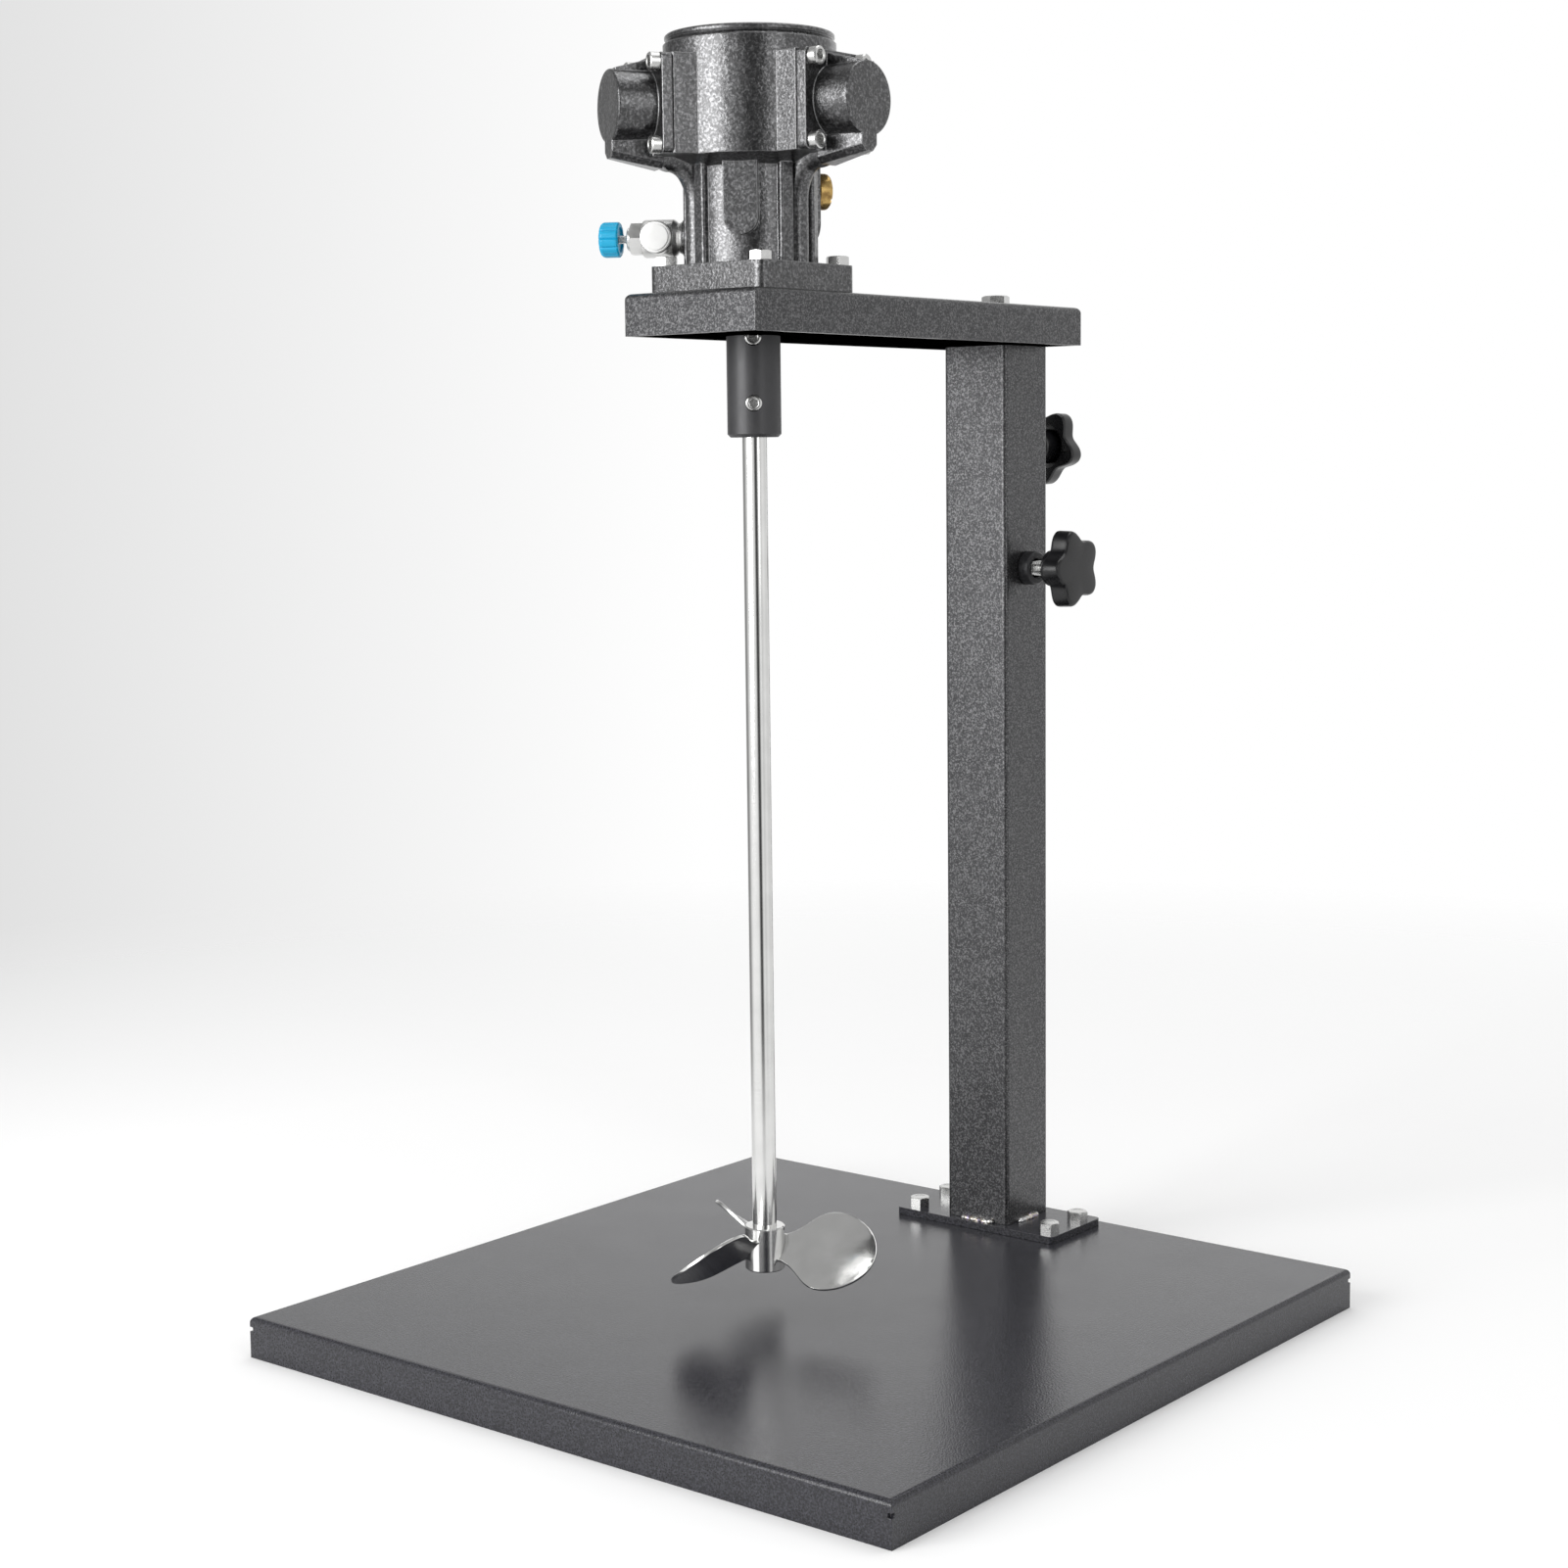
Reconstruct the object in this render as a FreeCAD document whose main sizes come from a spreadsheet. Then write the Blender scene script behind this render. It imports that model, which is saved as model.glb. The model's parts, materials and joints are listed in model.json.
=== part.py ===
import FreeCAD, Part
import os
import re
import Sketcher
from FreeCAD import Placement, Rotation, Vector

# Pneumatic paint mixer on a bench stand, in millimetres, +Z up.
# The origin is on the floor, below the middle of the whole mixer. +Y points to the mast,
# +X to the side clamp. The air motor hangs its stirrer shaft in front of the mast.

doc = FreeCAD.newDocument("paint_mixer")
sheet = doc.addObject("Spreadsheet::Sheet", "Sizes")

SIZES = {
    # Folded base tray and the plate that the mast is welded to
    "base_width": 400, "base_depth": 400, "base_height": 21, "base_sheet": 2, "base_bend": 3,
    "base_relief": 2.2,
    "foot_width": 104, "foot_depth": 49, "foot_thick": 4, "foot_corner": 3,
    "foot_bolt_end": 8.5, "foot_bolt_side": 10.5,
    # Telescopic mast
    "mast_inset": 32.5, "mast_side": 40, "mast_wall": 2.5, "mast_corner": 2.5,
    "inner_wall": 2, "inner_length": 420, "slide_gap": 0.3,
    "weld_length": 17, "weld_leg": 4,
    # Clamp screws
    "side_clamp_drop": 118, "rear_clamp_drop": 53, "rear_backoff": 4,
    "boss_round": 18, "boss_length": 7, "boss_edge": 0.9, "stud_round": 8, "stud_hole": 9,
    "stud_bevel": 1, "stud_show": 6.8, "jam_nut_flat": 13, "jam_nut_thick": 5,
    "knob_round": 42, "knob_core": 31, "knob_lobe": 12, "knob_valley": 5, "knob_thick": 11,
    "knob_hub": 19, "knob_hub_length": 8, "knob_wall": 3, "knob_hollow": 7, "knob_edge": 1.5,
    # Arm
    "arm_under": 502, "arm_tall": 20, "arm_width": 80, "arm_sheet": 2, "arm_bend": 3,
    "arm_front": 47, "arm_rear": 22, "stirrer_front": 36.8, "arm_opening": 40,
    # Motor casting
    "flange_side": 71, "flange_thick": 13, "flange_corner": 5, "flange_bolt_edge": 6.5,
    "neck_round": 59, "neck_tall": 49.5, "skirt_drop": 4.5, "rib_reach": 32.5, "rib_width": 7.5,
    "rib_turn": 19, "rib_round": 1.5, "pad_reach": 32.2, "pad_width": 16.4, "pad_drop": 37,
    "flare_drop": 19.8, "flare_wide": 12, "flare_reach": 35, "flare_bend": 16,
    "flare_round": 2.5, "seat_round": 17, "seat_reach": 33,
    "block_tall": 45.6, "block_wide": 45.2, "block_reach": 46.5, "block_bevel": 1,
    "crank_round": 82.3, "rim_tall": 9.2, "rim_bevel": 1.6, "chamber_round": 60, "chamber_sink": 2,
    "lid_round": 80.7, "lid_thick": 3.2, "lid_groove": 0.8, "lid_edge": 0.8, "lid_spigot": 9,
    "lid_wall": 4, "lid_recess": 1, "bore_round": 30, "liner_wall": 2,
    # Cylinder caps
    "cap_thick": 4.9, "cap_corner": 2.5, "cap_boss": 34.2, "cap_boss_tall": 19.4,
    "cap_edge": 1, "cap_crown": 4.5, "rib_setback": 2, "rib_top_wide": 13, "duct_wide": 17,
    "duct_tip_wide": 11, "duct_bevel": 3, "duct_drop": 1, "duct_root_drop": 5.6,
    "screw_side": 5.1, "screw_end": 4.05, "screw_head": 8.5, "screw_tall": 5,
    "screw_round": 5, "screw_key": 4, "screw_length": 14, "tap_spare": 1,
    # Crank train
    "crank_throw": 6, "pin_round": 10, "roller_round": 14, "roller_tall": 20,
    "journal_round": 17, "output_round": 14, "output_length": 34, "web_round": 36,
    "web_thick": 8, "web_lift": 4, "cheek_round": 28, "cheek_thick": 4, "side_gap": 1,
    "top_journal": 12, "bearing_round": 35, "bearing_tall": 10, "seal_round": 30,
    "seal_tall": 6, "top_bearing_round": 28, "top_bearing_tall": 7, "sleeve_tall": 24,
    "piston_long": 16, "crown_gap": 3, "rod_round": 9, "shoe_gap": 0.5, "shoe_thick": 3,
    "shoe_wide": 16, "shoe_tall": 14,
    # Needle valve and silencer
    "valve_lift": 14, "nipple_round": 15, "nipple_length": 3.5, "valve_length": 16.2,
    "valve_round": 18, "port_round": 15.6, "port_reach": 12, "port_bore": 11.4,
    "port_depth": 9, "gland_flat": 14.5, "gland_length": 7.5, "stem_round": 4,
    "stem_length": 30, "dial_gap": 3.8, "dial_round": 16.8, "dial_thick": 9.5,
    "dial_end_wall": 3, "dial_edge": 1.9, "dial_flutes": 12, "flute_round": 1.4,
    "silencer_drop": 13.8, "silencer_round": 17.3, "silencer_tall": 6.8,
    # Stirrer
    "coupling_round": 26, "coupling_drop": 5, "coupling_tall": 63, "coupling_bevel": 1.5,
    "set_screw": 8, "set_screw_end": 16, "set_screw_turn": -51, "shaft_round": 12,
    "shaft_proud": 1, "shaft_bevel": 0.6, "hub_round": 20, "hub_low": 43, "hub_tall": 22,
    "blade_reach": 57, "blade_wide": 45, "blade_root": 15, "blade_thick": 1.6,
    "blade_pitch_root": 48, "blade_pitch_tip": 34, "blade_cup": 3, "blade_turn": 21,
    # Hexagon fasteners and clearances
    "foot_bolt_flat": 10, "foot_bolt_head": 5, "foot_bolt_round": 6, "flange_bolt_flat": 10,
    "flange_bolt_head": 4.5, "flange_bolt_round": 6, "arm_bolt_flat": 13,
    "arm_bolt_head": 5.5, "arm_bolt_round": 8, "plug_thick": 8, "nut_thick": 5,
    "bolt_proud": 4, "washer_thick": 1.6, "washer_round": 12.5, "arm_washer_round": 17,
    "bolt_gap": 0.3, "rest_gap": 0.3, "fit_gap": 0.05,
}

for row, (alias, number) in enumerate(SIZES.items(), 1):
    sheet.set(f"A{row}", alias)
    sheet.set(f"B{row}", str(number))
    sheet.setAlias(f"B{row}", alias)
doc.recompute()

# Positions that follow from the sizes, as expressions in the sheet's words
MAST_BACK = "(base_depth / 2 - mast_inset)"
REAR_REACH = (f"({MAST_BACK} + mast_side / 2 + boss_length + stud_show"
              " + knob_hub_length + knob_thick + rear_backoff)")
BASE_Y = f"((base_depth / 2 - {REAR_REACH}) / 2)"
MAST_Y = f"({BASE_Y} + {MAST_BACK})"
STIRRER_Y = f"({BASE_Y} - stirrer_front)"
FOOT_TOP = "(base_height + foot_thick)"
ARM_TOP = "(arm_under + arm_tall)"
ARM_SPAN = f"({MAST_BACK} + stirrer_front)"
SHEET_LOW = f"({ARM_TOP} - arm_sheet)"
INNER_SIDE = "(mast_side - 2 * mast_wall - 2 * slide_gap)"
FOOT_SPAN = ("(foot_width - 2 * foot_bolt_end)", "(foot_depth - 2 * foot_bolt_side)")
FLANGE_SPAN = ("(flange_side - 2 * flange_bolt_edge)", "(flange_side - 2 * flange_bolt_edge)")
CAP_SPAN = ("(block_wide - 2 * screw_side)", "(block_tall - 2 * screw_end)")

# Heights in the motor, from its flange's underside, and distances out from its axis
BLOCK_LOW = "(flange_thick + neck_tall)"
CRANK_TOP = f"({BLOCK_LOW} + block_tall + rim_tall)"
CHAMBER_LOW = f"({BLOCK_LOW} - chamber_sink)"
BORE_Z = f"({BLOCK_LOW} + block_tall / 2)"
VALVE_Z = "(flange_thick + valve_lift)"
CAP_FACE = "(block_reach + cap_thick)"
CAP_REACH = f"({CAP_FACE} + cap_boss_tall)"
LINER_END = f"({CAP_REACH} - cap_crown)"
SHOE_INNER = "(2 * crank_throw + roller_round / 2 + shoe_gap)"
VALVE_START = "(seat_reach + nipple_length)"
VALVE_END = f"({VALVE_START} + valve_length)"
GLAND_END = f"({VALVE_END} + gland_length)"
DIAL_START = f"({GLAND_END} + dial_gap)"

# Heights in the stirrer
COUPLING_LOW = f"({ARM_TOP} - coupling_drop - coupling_tall)"
OUTPUT_END = f"({ARM_TOP} - output_length)"

labels = []


def named(expression):
    """The expression with each word of the sheet given its full name."""
    return re.sub(r"\b([a-z]+(?:_[a-z]+)+)\b", r"Sizes.\1", expression)


def size(expression):
    """The value of an expression, in millimetres."""
    return float(sheet.evalExpression(named(expression)))


def bind(item, path, expression):
    item.setExpression(path, named(expression))


def place(item, x="0", y="0", z="0", turn=None):
    """Turn an object, then tie its place to the sheet."""
    item.Placement = Placement(Vector(), turn or Rotation())
    for axis, expression in (("x", x), ("y", y), ("z", z)):
        bind(item, f"Placement.Base.{axis}", expression)


def keep(item, label):
    """Name an object as one of the mixer's pieces."""
    item.Label = label
    labels.append(item)
    return item


# Sketches and part design features

def new_body(label):
    return keep(doc.addObject("PartDesign::Body", label + "_body"), label)


def new_sketch(body, name, plane="XY_Plane", lift=None):
    base = next(item for item in body.Origin.OriginFeatures if item.Role == plane)
    sketch = body.newObject("Sketcher::SketchObject", name)
    sketch.AttachmentSupport = [(base, "")]
    sketch.MapMode = "FlatFace"
    if lift:
        bind(sketch, "AttachmentOffset.Base.z", lift)
    return sketch


def pin_point(sketch, line, point, x, y):
    """Tie a point's two coordinates to the sheet."""
    for kind, expression in (("DistanceX", x), ("DistanceY", y)):
        rule = Sketcher.Constraint(kind, -1, 1, line, point, size(expression))
        bind(sketch, f"Constraints[{sketch.addConstraint(rule)}]", expression)


def draw_circle(sketch, diameter, x="0", y="0"):
    centre = Vector(size(x), size(y), 0)
    ring = sketch.addGeometry(Part.Circle(centre, Vector(0, 0, 1), size(diameter) / 2), False)
    rule = sketch.addConstraint(Sketcher.Constraint("Diameter", ring, size(diameter)))
    bind(sketch, f"Constraints[{rule}]", diameter)
    pin_point(sketch, ring, 3, x, y)


def draw_outline(sketch, corners):
    """A closed outline of straight sides through (x, y) corners."""
    first = sketch.GeometryCount
    points = [Vector(size(x), size(y), 0) for x, y in corners]
    for point, after in zip(points, points[1:] + points[:1]):
        sketch.addGeometry(Part.LineSegment(point, after), False)
    for step, (x, y) in enumerate(corners):
        after = first + (step + 1) % len(corners)
        sketch.addConstraint(Sketcher.Constraint("Coincident", first + step, 2, after, 1))
        pin_point(sketch, first + step, 1, x, y)


def draw_rectangle(sketch, width, depth, x="0", y="0"):
    left, right = f"{x} - ({width}) / 2", f"{x} + ({width}) / 2"
    low, high = f"{y} - ({depth}) / 2", f"{y} + ({depth}) / 2"
    draw_outline(sketch, [(left, low), (right, low), (right, high), (left, high)])


def pad(body, sketch, name, length, reverse=False, middle=False):
    feature = body.newObject("PartDesign::Pad", name)
    feature.Profile = sketch
    bind(feature, "Length", length)
    feature.Reversed = reverse
    feature.Midplane = middle
    return feature


def pocket(body, sketch, name, length, reverse=False, middle=False):
    feature = body.newObject("PartDesign::Pocket", name)
    feature.Profile = sketch
    bind(feature, "Length", length)
    feature.Reversed = reverse
    feature.Midplane = middle
    return feature


def spin(body, sketch, name, kind="Revolution"):
    """A full turn of a profile about the sketch's upright axis."""
    feature = body.newObject(f"PartDesign::{kind}", name)
    feature.Profile = sketch
    feature.ReferenceAxis = (sketch, ["V_Axis"])
    feature.Angle = 360
    return feature


def repeat_round(body, features, name, count):
    """Copies of features, evenly round the body's Z axis."""
    axis = next(item for item in body.Origin.OriginFeatures if item.Role == "Z_Axis")
    pattern = body.newObject("PartDesign::PolarPattern", name)
    pattern.Originals = features
    pattern.Axis = (axis, [""])
    pattern.Angle = 360
    pattern.Occurrences = count
    body.Tip = pattern
    return pattern


def soften(body, name, amount, chosen, kind="Fillet"):
    """Fillet or chamfer the edges that a test chooses."""
    doc.recompute()
    tip = body.Tip
    edges = [f"Edge{number}" for number, edge in enumerate(tip.Shape.Edges, 1) if chosen(edge)]
    feature = body.newObject(f"PartDesign::{kind}", name)
    feature.Base = (tip, edges)
    bind(feature, "Radius" if kind == "Fillet" else "Size", amount)
    return feature


def upright(edge):
    ends = edge.Vertexes
    if len(ends) < 2 or edge.Curve.TypeId != "Part::GeomLine":
        return False
    step = ends[1].Point - ends[0].Point
    return abs(step.x) < 0.01 and abs(step.y) < 0.01


def level(edge, height):
    return all(abs(corner.Z - size(height)) < 0.01 for corner in edge.Vertexes)


# Primitives

def solid(kind, name, **sizes):
    item = doc.addObject(f"Part::{kind}", name)
    for word, expression in sizes.items():
        bind(item, word, expression)
    return item


def cylinder(name, diameter, height, x="0", y="0", z="0", turn=None):
    item = solid("Cylinder", name, Radius=f"({diameter}) / 2", Height=height)
    place(item, x, y, z, turn)
    return item


def hexagon(name, flat, height, x="0", y="0", z="0"):
    item = solid("Prism", name, Circumradius=f"({flat}) / 2 / cos(30)", Height=height)
    item.Polygon = 6
    place(item, x, y, z)
    return item


def round_edges(item, amount):
    """Each round edge of a bar, with one bevel for all."""
    return [(number, size(amount), size(amount)) for number, edge in enumerate(item.Shape.Edges, 1)
            if edge.Curve.TypeId == "Part::GeomCircle"]


def minus(name, base, tool):
    item = doc.addObject("Part::Cut", name)
    item.Base = base
    item.Tool = tool
    return item


def union(name, pieces):
    item = doc.addObject("Part::MultiFuse", name)
    item.Shapes = pieces
    return item


def group(name, pieces, label):
    item = doc.addObject("Part::Compound", name)
    item.Links = pieces
    return keep(item, label)


def ring(name, outer, inner, height, z="0"):
    """A round ring on the Z axis."""
    return minus(name, cylinder(name + "_out", outer, height, z=z),
                 cylinder(name + "_in", inner, height, z=z))


def hex_nut(name, flat, bore, height, z="0"):
    return minus(name, hexagon(name + "_out", flat, height, z=z),
                 cylinder(name + "_in", bore, height, z=z))


def hex_bolt(name, flat, head, diameter, length):
    """A hexagon bolt pointing down, its head's underside at zero."""
    return union(name, [hexagon(name + "_head", flat, head),
                        cylinder(name + "_shank", diameter, length, z=f"0 - {length}")])


def four_corners(span):
    """The four corners of a rectangle of two spans, as expressions."""
    span_x, span_y = span
    return [(f"{a} * {span_x} / 2", f"{b} * {span_y} / 2")
            for a in ("-1", "1") for b in ("-1", "1")]


# Stand

def base_plate():
    """A sheet tray: flat top, four flanges down to the floor, relief at each corner."""
    body = new_body("base_plate")
    place(body, y=BASE_Y)
    plan = new_sketch(body, "base_plan")
    draw_rectangle(plan, "base_width", "base_depth")
    pad(body, plan, "base_block", "base_height")
    soften(body, "base_bends", "base_bend", lambda edge: level(edge, "base_height"))
    hollow = new_sketch(body, "base_hollow_plan")
    draw_rectangle(hollow, "base_width - 2 * base_sheet", "base_depth - 2 * base_sheet")
    pocket(body, hollow, "base_hollow", "base_height - base_sheet", reverse=True)
    holes = new_sketch(body, "base_hole_plan", lift="base_height")
    for x, y in four_corners(FOOT_SPAN):
        draw_circle(holes, "foot_bolt_round + 2 * bolt_gap", x, f"{MAST_BACK} + {y}")
    pocket(body, holes, "base_holes", "base_height")
    relief = new_sketch(body, "base_relief_plan", lift="base_height - base_bend - base_relief")
    for x, y in four_corners(("base_width", "base_depth")):
        draw_rectangle(relief, "2 * base_relief", "2 * base_relief", x, y)
    pocket(body, relief, "base_reliefs", "base_relief")


def foot_plate():
    body = new_body("foot_plate")
    place(body, y=MAST_Y, z="base_height")
    plan = new_sketch(body, "foot_plan")
    draw_rectangle(plan, "foot_width", "foot_depth")
    pad(body, plan, "foot_block", "foot_thick")
    soften(body, "foot_corners", "foot_corner", upright)
    holes = new_sketch(body, "foot_hole_plan", lift="foot_thick")
    for x, y in four_corners(FOOT_SPAN):
        draw_circle(holes, "foot_bolt_round + 2 * bolt_gap", x, y)
    pocket(body, holes, "foot_holes", "foot_thick")


def mast_tube():
    """The square outer tube, with a hole through its wall behind each clamp boss."""
    body = new_body("mast_tube")
    place(body, y=MAST_Y, z=FOOT_TOP)
    plan = new_sketch(body, "mast_plan")
    draw_rectangle(plan, "mast_side", "mast_side")
    pad(body, plan, "mast_block", f"{SHEET_LOW} - rest_gap - {FOOT_TOP}")
    soften(body, "mast_corners", "mast_corner", upright)
    bore = new_sketch(body, "mast_bore_plan")
    draw_rectangle(bore, "mast_side - 2 * mast_wall", "mast_side - 2 * mast_wall")
    pocket(body, bore, "mast_bore", ARM_TOP, reverse=True)
    side = new_sketch(body, "mast_side_hole_plan", "YZ_Plane")
    draw_circle(side, "stud_hole", "0", f"arm_under - side_clamp_drop - {FOOT_TOP}")
    pocket(body, side, "mast_side_hole", "mast_side", reverse=True)
    rear = new_sketch(body, "mast_rear_hole_plan", "XZ_Plane")
    draw_circle(rear, "stud_hole", "0", f"arm_under - rear_clamp_drop - {FOOT_TOP}")
    pocket(body, rear, "mast_rear_hole", "mast_side")


def mast_welds():
    """A short bead along the middle of each side of the mast's foot."""
    beads = []
    for number in range(4):
        bead = solid("Cylinder", f"weld_{number}", Radius="weld_leg", Height="weld_length")
        bead.Angle = 90
        place(bead, "mast_side / 2", "weld_length / 2", "0", Rotation(Vector(1, 0, 0), 90))
        arm = doc.addObject("Part::Compound", f"weld_side_{number}")
        arm.Links = [bead]
        arm.Placement = Placement(Vector(), Rotation(Vector(0, 0, 1), 90 * number))
        beads.append(arm)
    place(group("weld_group", beads, "mast_welds"), y=MAST_Y, z=FOOT_TOP)


def foot_fasteners():
    bolts, nuts, washers = [], [], []
    drop = "base_sheet + foot_thick + washer_thick"
    for number, (x, y) in enumerate(four_corners(FOOT_SPAN)):
        bolt = hex_bolt(f"foot_bolt_{number}", "foot_bolt_flat", "foot_bolt_head", "foot_bolt_round",
                        f"({drop} + nut_thick + bolt_proud)")
        washer = ring(f"foot_washer_{number}", "washer_round", "foot_bolt_round + 2 * fit_gap",
                      "washer_thick", z=f"0 - ({drop})")
        nut = hex_nut(f"foot_nut_{number}", "foot_bolt_flat", "foot_bolt_round + 2 * fit_gap",
                      "nut_thick", z=f"0 - ({drop}) - nut_thick")
        for item, pieces in ((bolt, bolts), (washer, washers), (nut, nuts)):
            place(item, x, y)
            pieces.append(item)
    for name, pieces in (("foot_bolts", bolts), ("foot_washers", washers), ("foot_nuts", nuts)):
        place(group(name + "_group", pieces, name), y=MAST_Y, z=FOOT_TOP)


# Clamp screws, each built along +Z and then turned to its side of the mast

SIDE = {"name": "side", "turn": Rotation(Vector(0, 1, 0), 90) * Rotation(Vector(0, 0, 1), -90),
        "height": "(arm_under - side_clamp_drop)", "backoff": "0"}
REAR = {"name": "rear", "turn": Rotation(Vector(1, 0, 0), -90),
        "height": "(arm_under - rear_clamp_drop)", "backoff": "rear_backoff"}


def place_clamp(item, clamp, out):
    """Set a piece a distance out from the mast's axis, on its clamp's side."""
    if clamp is SIDE:
        place(item, out, MAST_Y, clamp["height"], clamp["turn"])
    else:
        place(item, "0", f"{MAST_Y} + {out}", clamp["height"], clamp["turn"])


def clamp_boss(clamp):
    name = clamp["name"] + "_clamp_boss"
    body = new_body(name)
    place_clamp(body, clamp, "mast_side / 2")
    plan = new_sketch(body, name + "_plan")
    draw_circle(plan, "boss_round")
    pad(body, plan, name + "_block", "boss_length")
    soften(body, name + "_edge", "boss_edge", lambda edge: level(edge, "boss_length"))
    doc.recompute()
    thread = new_sketch(body, name + "_thread_plan", lift="boss_length")
    draw_circle(thread, "stud_round + 2 * fit_gap")
    hole = body.newObject("PartDesign::Hole", name + "_thread")
    hole.Profile = thread
    bind(hole, "Diameter", "stud_round + 2 * fit_gap")
    hole.DepthType = "ThroughAll"
    body.Tip = hole


def clamp_screw(clamp):
    """The stud, the hollow star knob and the lock nut sunk in its hub."""
    name = clamp["name"]
    start = f"{INNER_SIDE} / 2 + rest_gap + {clamp['backoff']}"
    knob_out = f"mast_side / 2 + boss_length + stud_show + {clamp['backoff']}"
    socket = "(knob_hub_length + knob_hollow)"
    stud = solid("Cylinder", name + "_stud_bar", Radius="stud_round / 2",
                 Height=f"{knob_out} + {socket} - rest_gap - ({start})")
    tip = doc.addObject("Part::Chamfer", name + "_stud_tip")
    doc.recompute()
    tip.Base = stud
    tip.Edges = round_edges(stud, "stud_bevel")
    place_clamp(keep(tip, name + "_stud"), clamp, start)
    nut = hex_nut(name + "_nut", "jam_nut_flat", "stud_round + 2 * fit_gap", "jam_nut_thick")
    place_clamp(keep(nut, name + "_jam_nut"), clamp, knob_out)
    knob = star_knob(name, socket)
    place_clamp(knob, clamp, knob_out)


def star_knob(name, socket):
    """Five round lobes on a hollow disc, with a hub that holds the stud."""
    body = new_body(name + "_knob")
    top = "knob_hub_length + knob_thick"
    core = new_sketch(body, name + "_core_plan", lift="knob_hub_length")
    draw_circle(core, "knob_core")
    pad(body, core, name + "_core", "knob_thick")
    lobe = new_sketch(body, name + "_lobe_plan", lift="knob_hub_length")
    draw_circle(lobe, "knob_lobe", "knob_round / 2 - knob_lobe / 2")
    repeat_round(body, [pad(body, lobe, name + "_lobe", "knob_thick")], name + "_lobes", 5)
    soften(body, name + "_valleys", "knob_valley", upright)
    soften(body, name + "_rim", "knob_edge", lambda edge: level(edge, top))
    hollow = new_sketch(body, name + "_hollow_plan", lift="knob_hub_length")
    draw_circle(hollow, "knob_core - 2 * knob_wall")
    pocket(body, hollow, name + "_hollow", "knob_hollow", reverse=True)
    hub = new_sketch(body, name + "_hub_plan")
    draw_circle(hub, "knob_hub")
    pad(body, hub, name + "_hub", "knob_hub_length + knob_hollow")
    bore = new_sketch(body, name + "_bore_plan")
    draw_circle(bore, "stud_round + 2 * fit_gap")
    pocket(body, bore, name + "_bore", socket, reverse=True)
    seat = new_sketch(body, name + "_nut_seat_plan")
    corner = "((jam_nut_flat / 2 + fit_gap) / cos(30))"
    draw_outline(seat, [(f"{corner} * cos({turn})", f"{corner} * sin({turn})")
                        for turn in range(0, 360, 60)])
    pocket(body, seat, name + "_nut_seat", "jam_nut_thick", reverse=True)
    return body


# Head: inner tube and arm

def inner_tube():
    body = new_body("inner_tube")
    place(body, y=MAST_Y, z=f"{SHEET_LOW} - inner_length")
    plan = new_sketch(body, "inner_plan")
    draw_rectangle(plan, INNER_SIDE, INNER_SIDE)
    pad(body, plan, "inner_block", "inner_length")
    soften(body, "inner_corners", "inner_wall", upright)
    bore = new_sketch(body, "inner_bore_plan")
    side = f"{INNER_SIDE} - 2 * inner_wall"
    draw_rectangle(bore, side, side)
    pocket(body, bore, "inner_bore", "inner_length", reverse=True)


def head_plug():
    """The square plug in the inner tube's top, tapped for the arm bolt."""
    body = new_body("head_plug")
    place(body, y=MAST_Y, z=f"{SHEET_LOW} - plug_thick")
    plan = new_sketch(body, "plug_plan")
    side = f"{INNER_SIDE} - 2 * inner_wall - 2 * fit_gap"
    draw_rectangle(plan, side, side)
    pad(body, plan, "plug_block", "plug_thick")
    bore = new_sketch(body, "plug_bore_plan")
    draw_circle(bore, "arm_bolt_round + 2 * fit_gap")
    pocket(body, bore, "plug_bore", "plug_thick", reverse=True)


def arm_bracket():
    """An upturned tray from the mast to the motor, open below."""
    body = new_body("arm_bracket")
    place(body, y=STIRRER_Y, z="arm_under")
    length = f"(arm_front + {ARM_SPAN} + arm_rear)"
    middle = f"({ARM_SPAN} + arm_rear - arm_front) / 2"
    plan = new_sketch(body, "arm_plan")
    draw_rectangle(plan, "arm_width", length, "0", middle)
    pad(body, plan, "arm_block", "arm_tall")
    soften(body, "arm_bends", "arm_bend", lambda edge: level(edge, "arm_tall"))
    hollow = new_sketch(body, "arm_hollow_plan")
    draw_rectangle(hollow, "arm_width - 2 * arm_sheet", f"{length} - 2 * arm_sheet", "0", middle)
    pocket(body, hollow, "arm_hollow", "arm_tall - arm_sheet", reverse=True)
    holes = new_sketch(body, "arm_hole_plan", lift="arm_tall")
    draw_circle(holes, "arm_opening")
    draw_circle(holes, "arm_bolt_round + 2 * bolt_gap", "0", ARM_SPAN)
    for x, y in four_corners(FLANGE_SPAN):
        draw_circle(holes, "flange_bolt_round + 2 * bolt_gap", x, y)
    pocket(body, holes, "arm_holes", "2 * arm_sheet")


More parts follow.
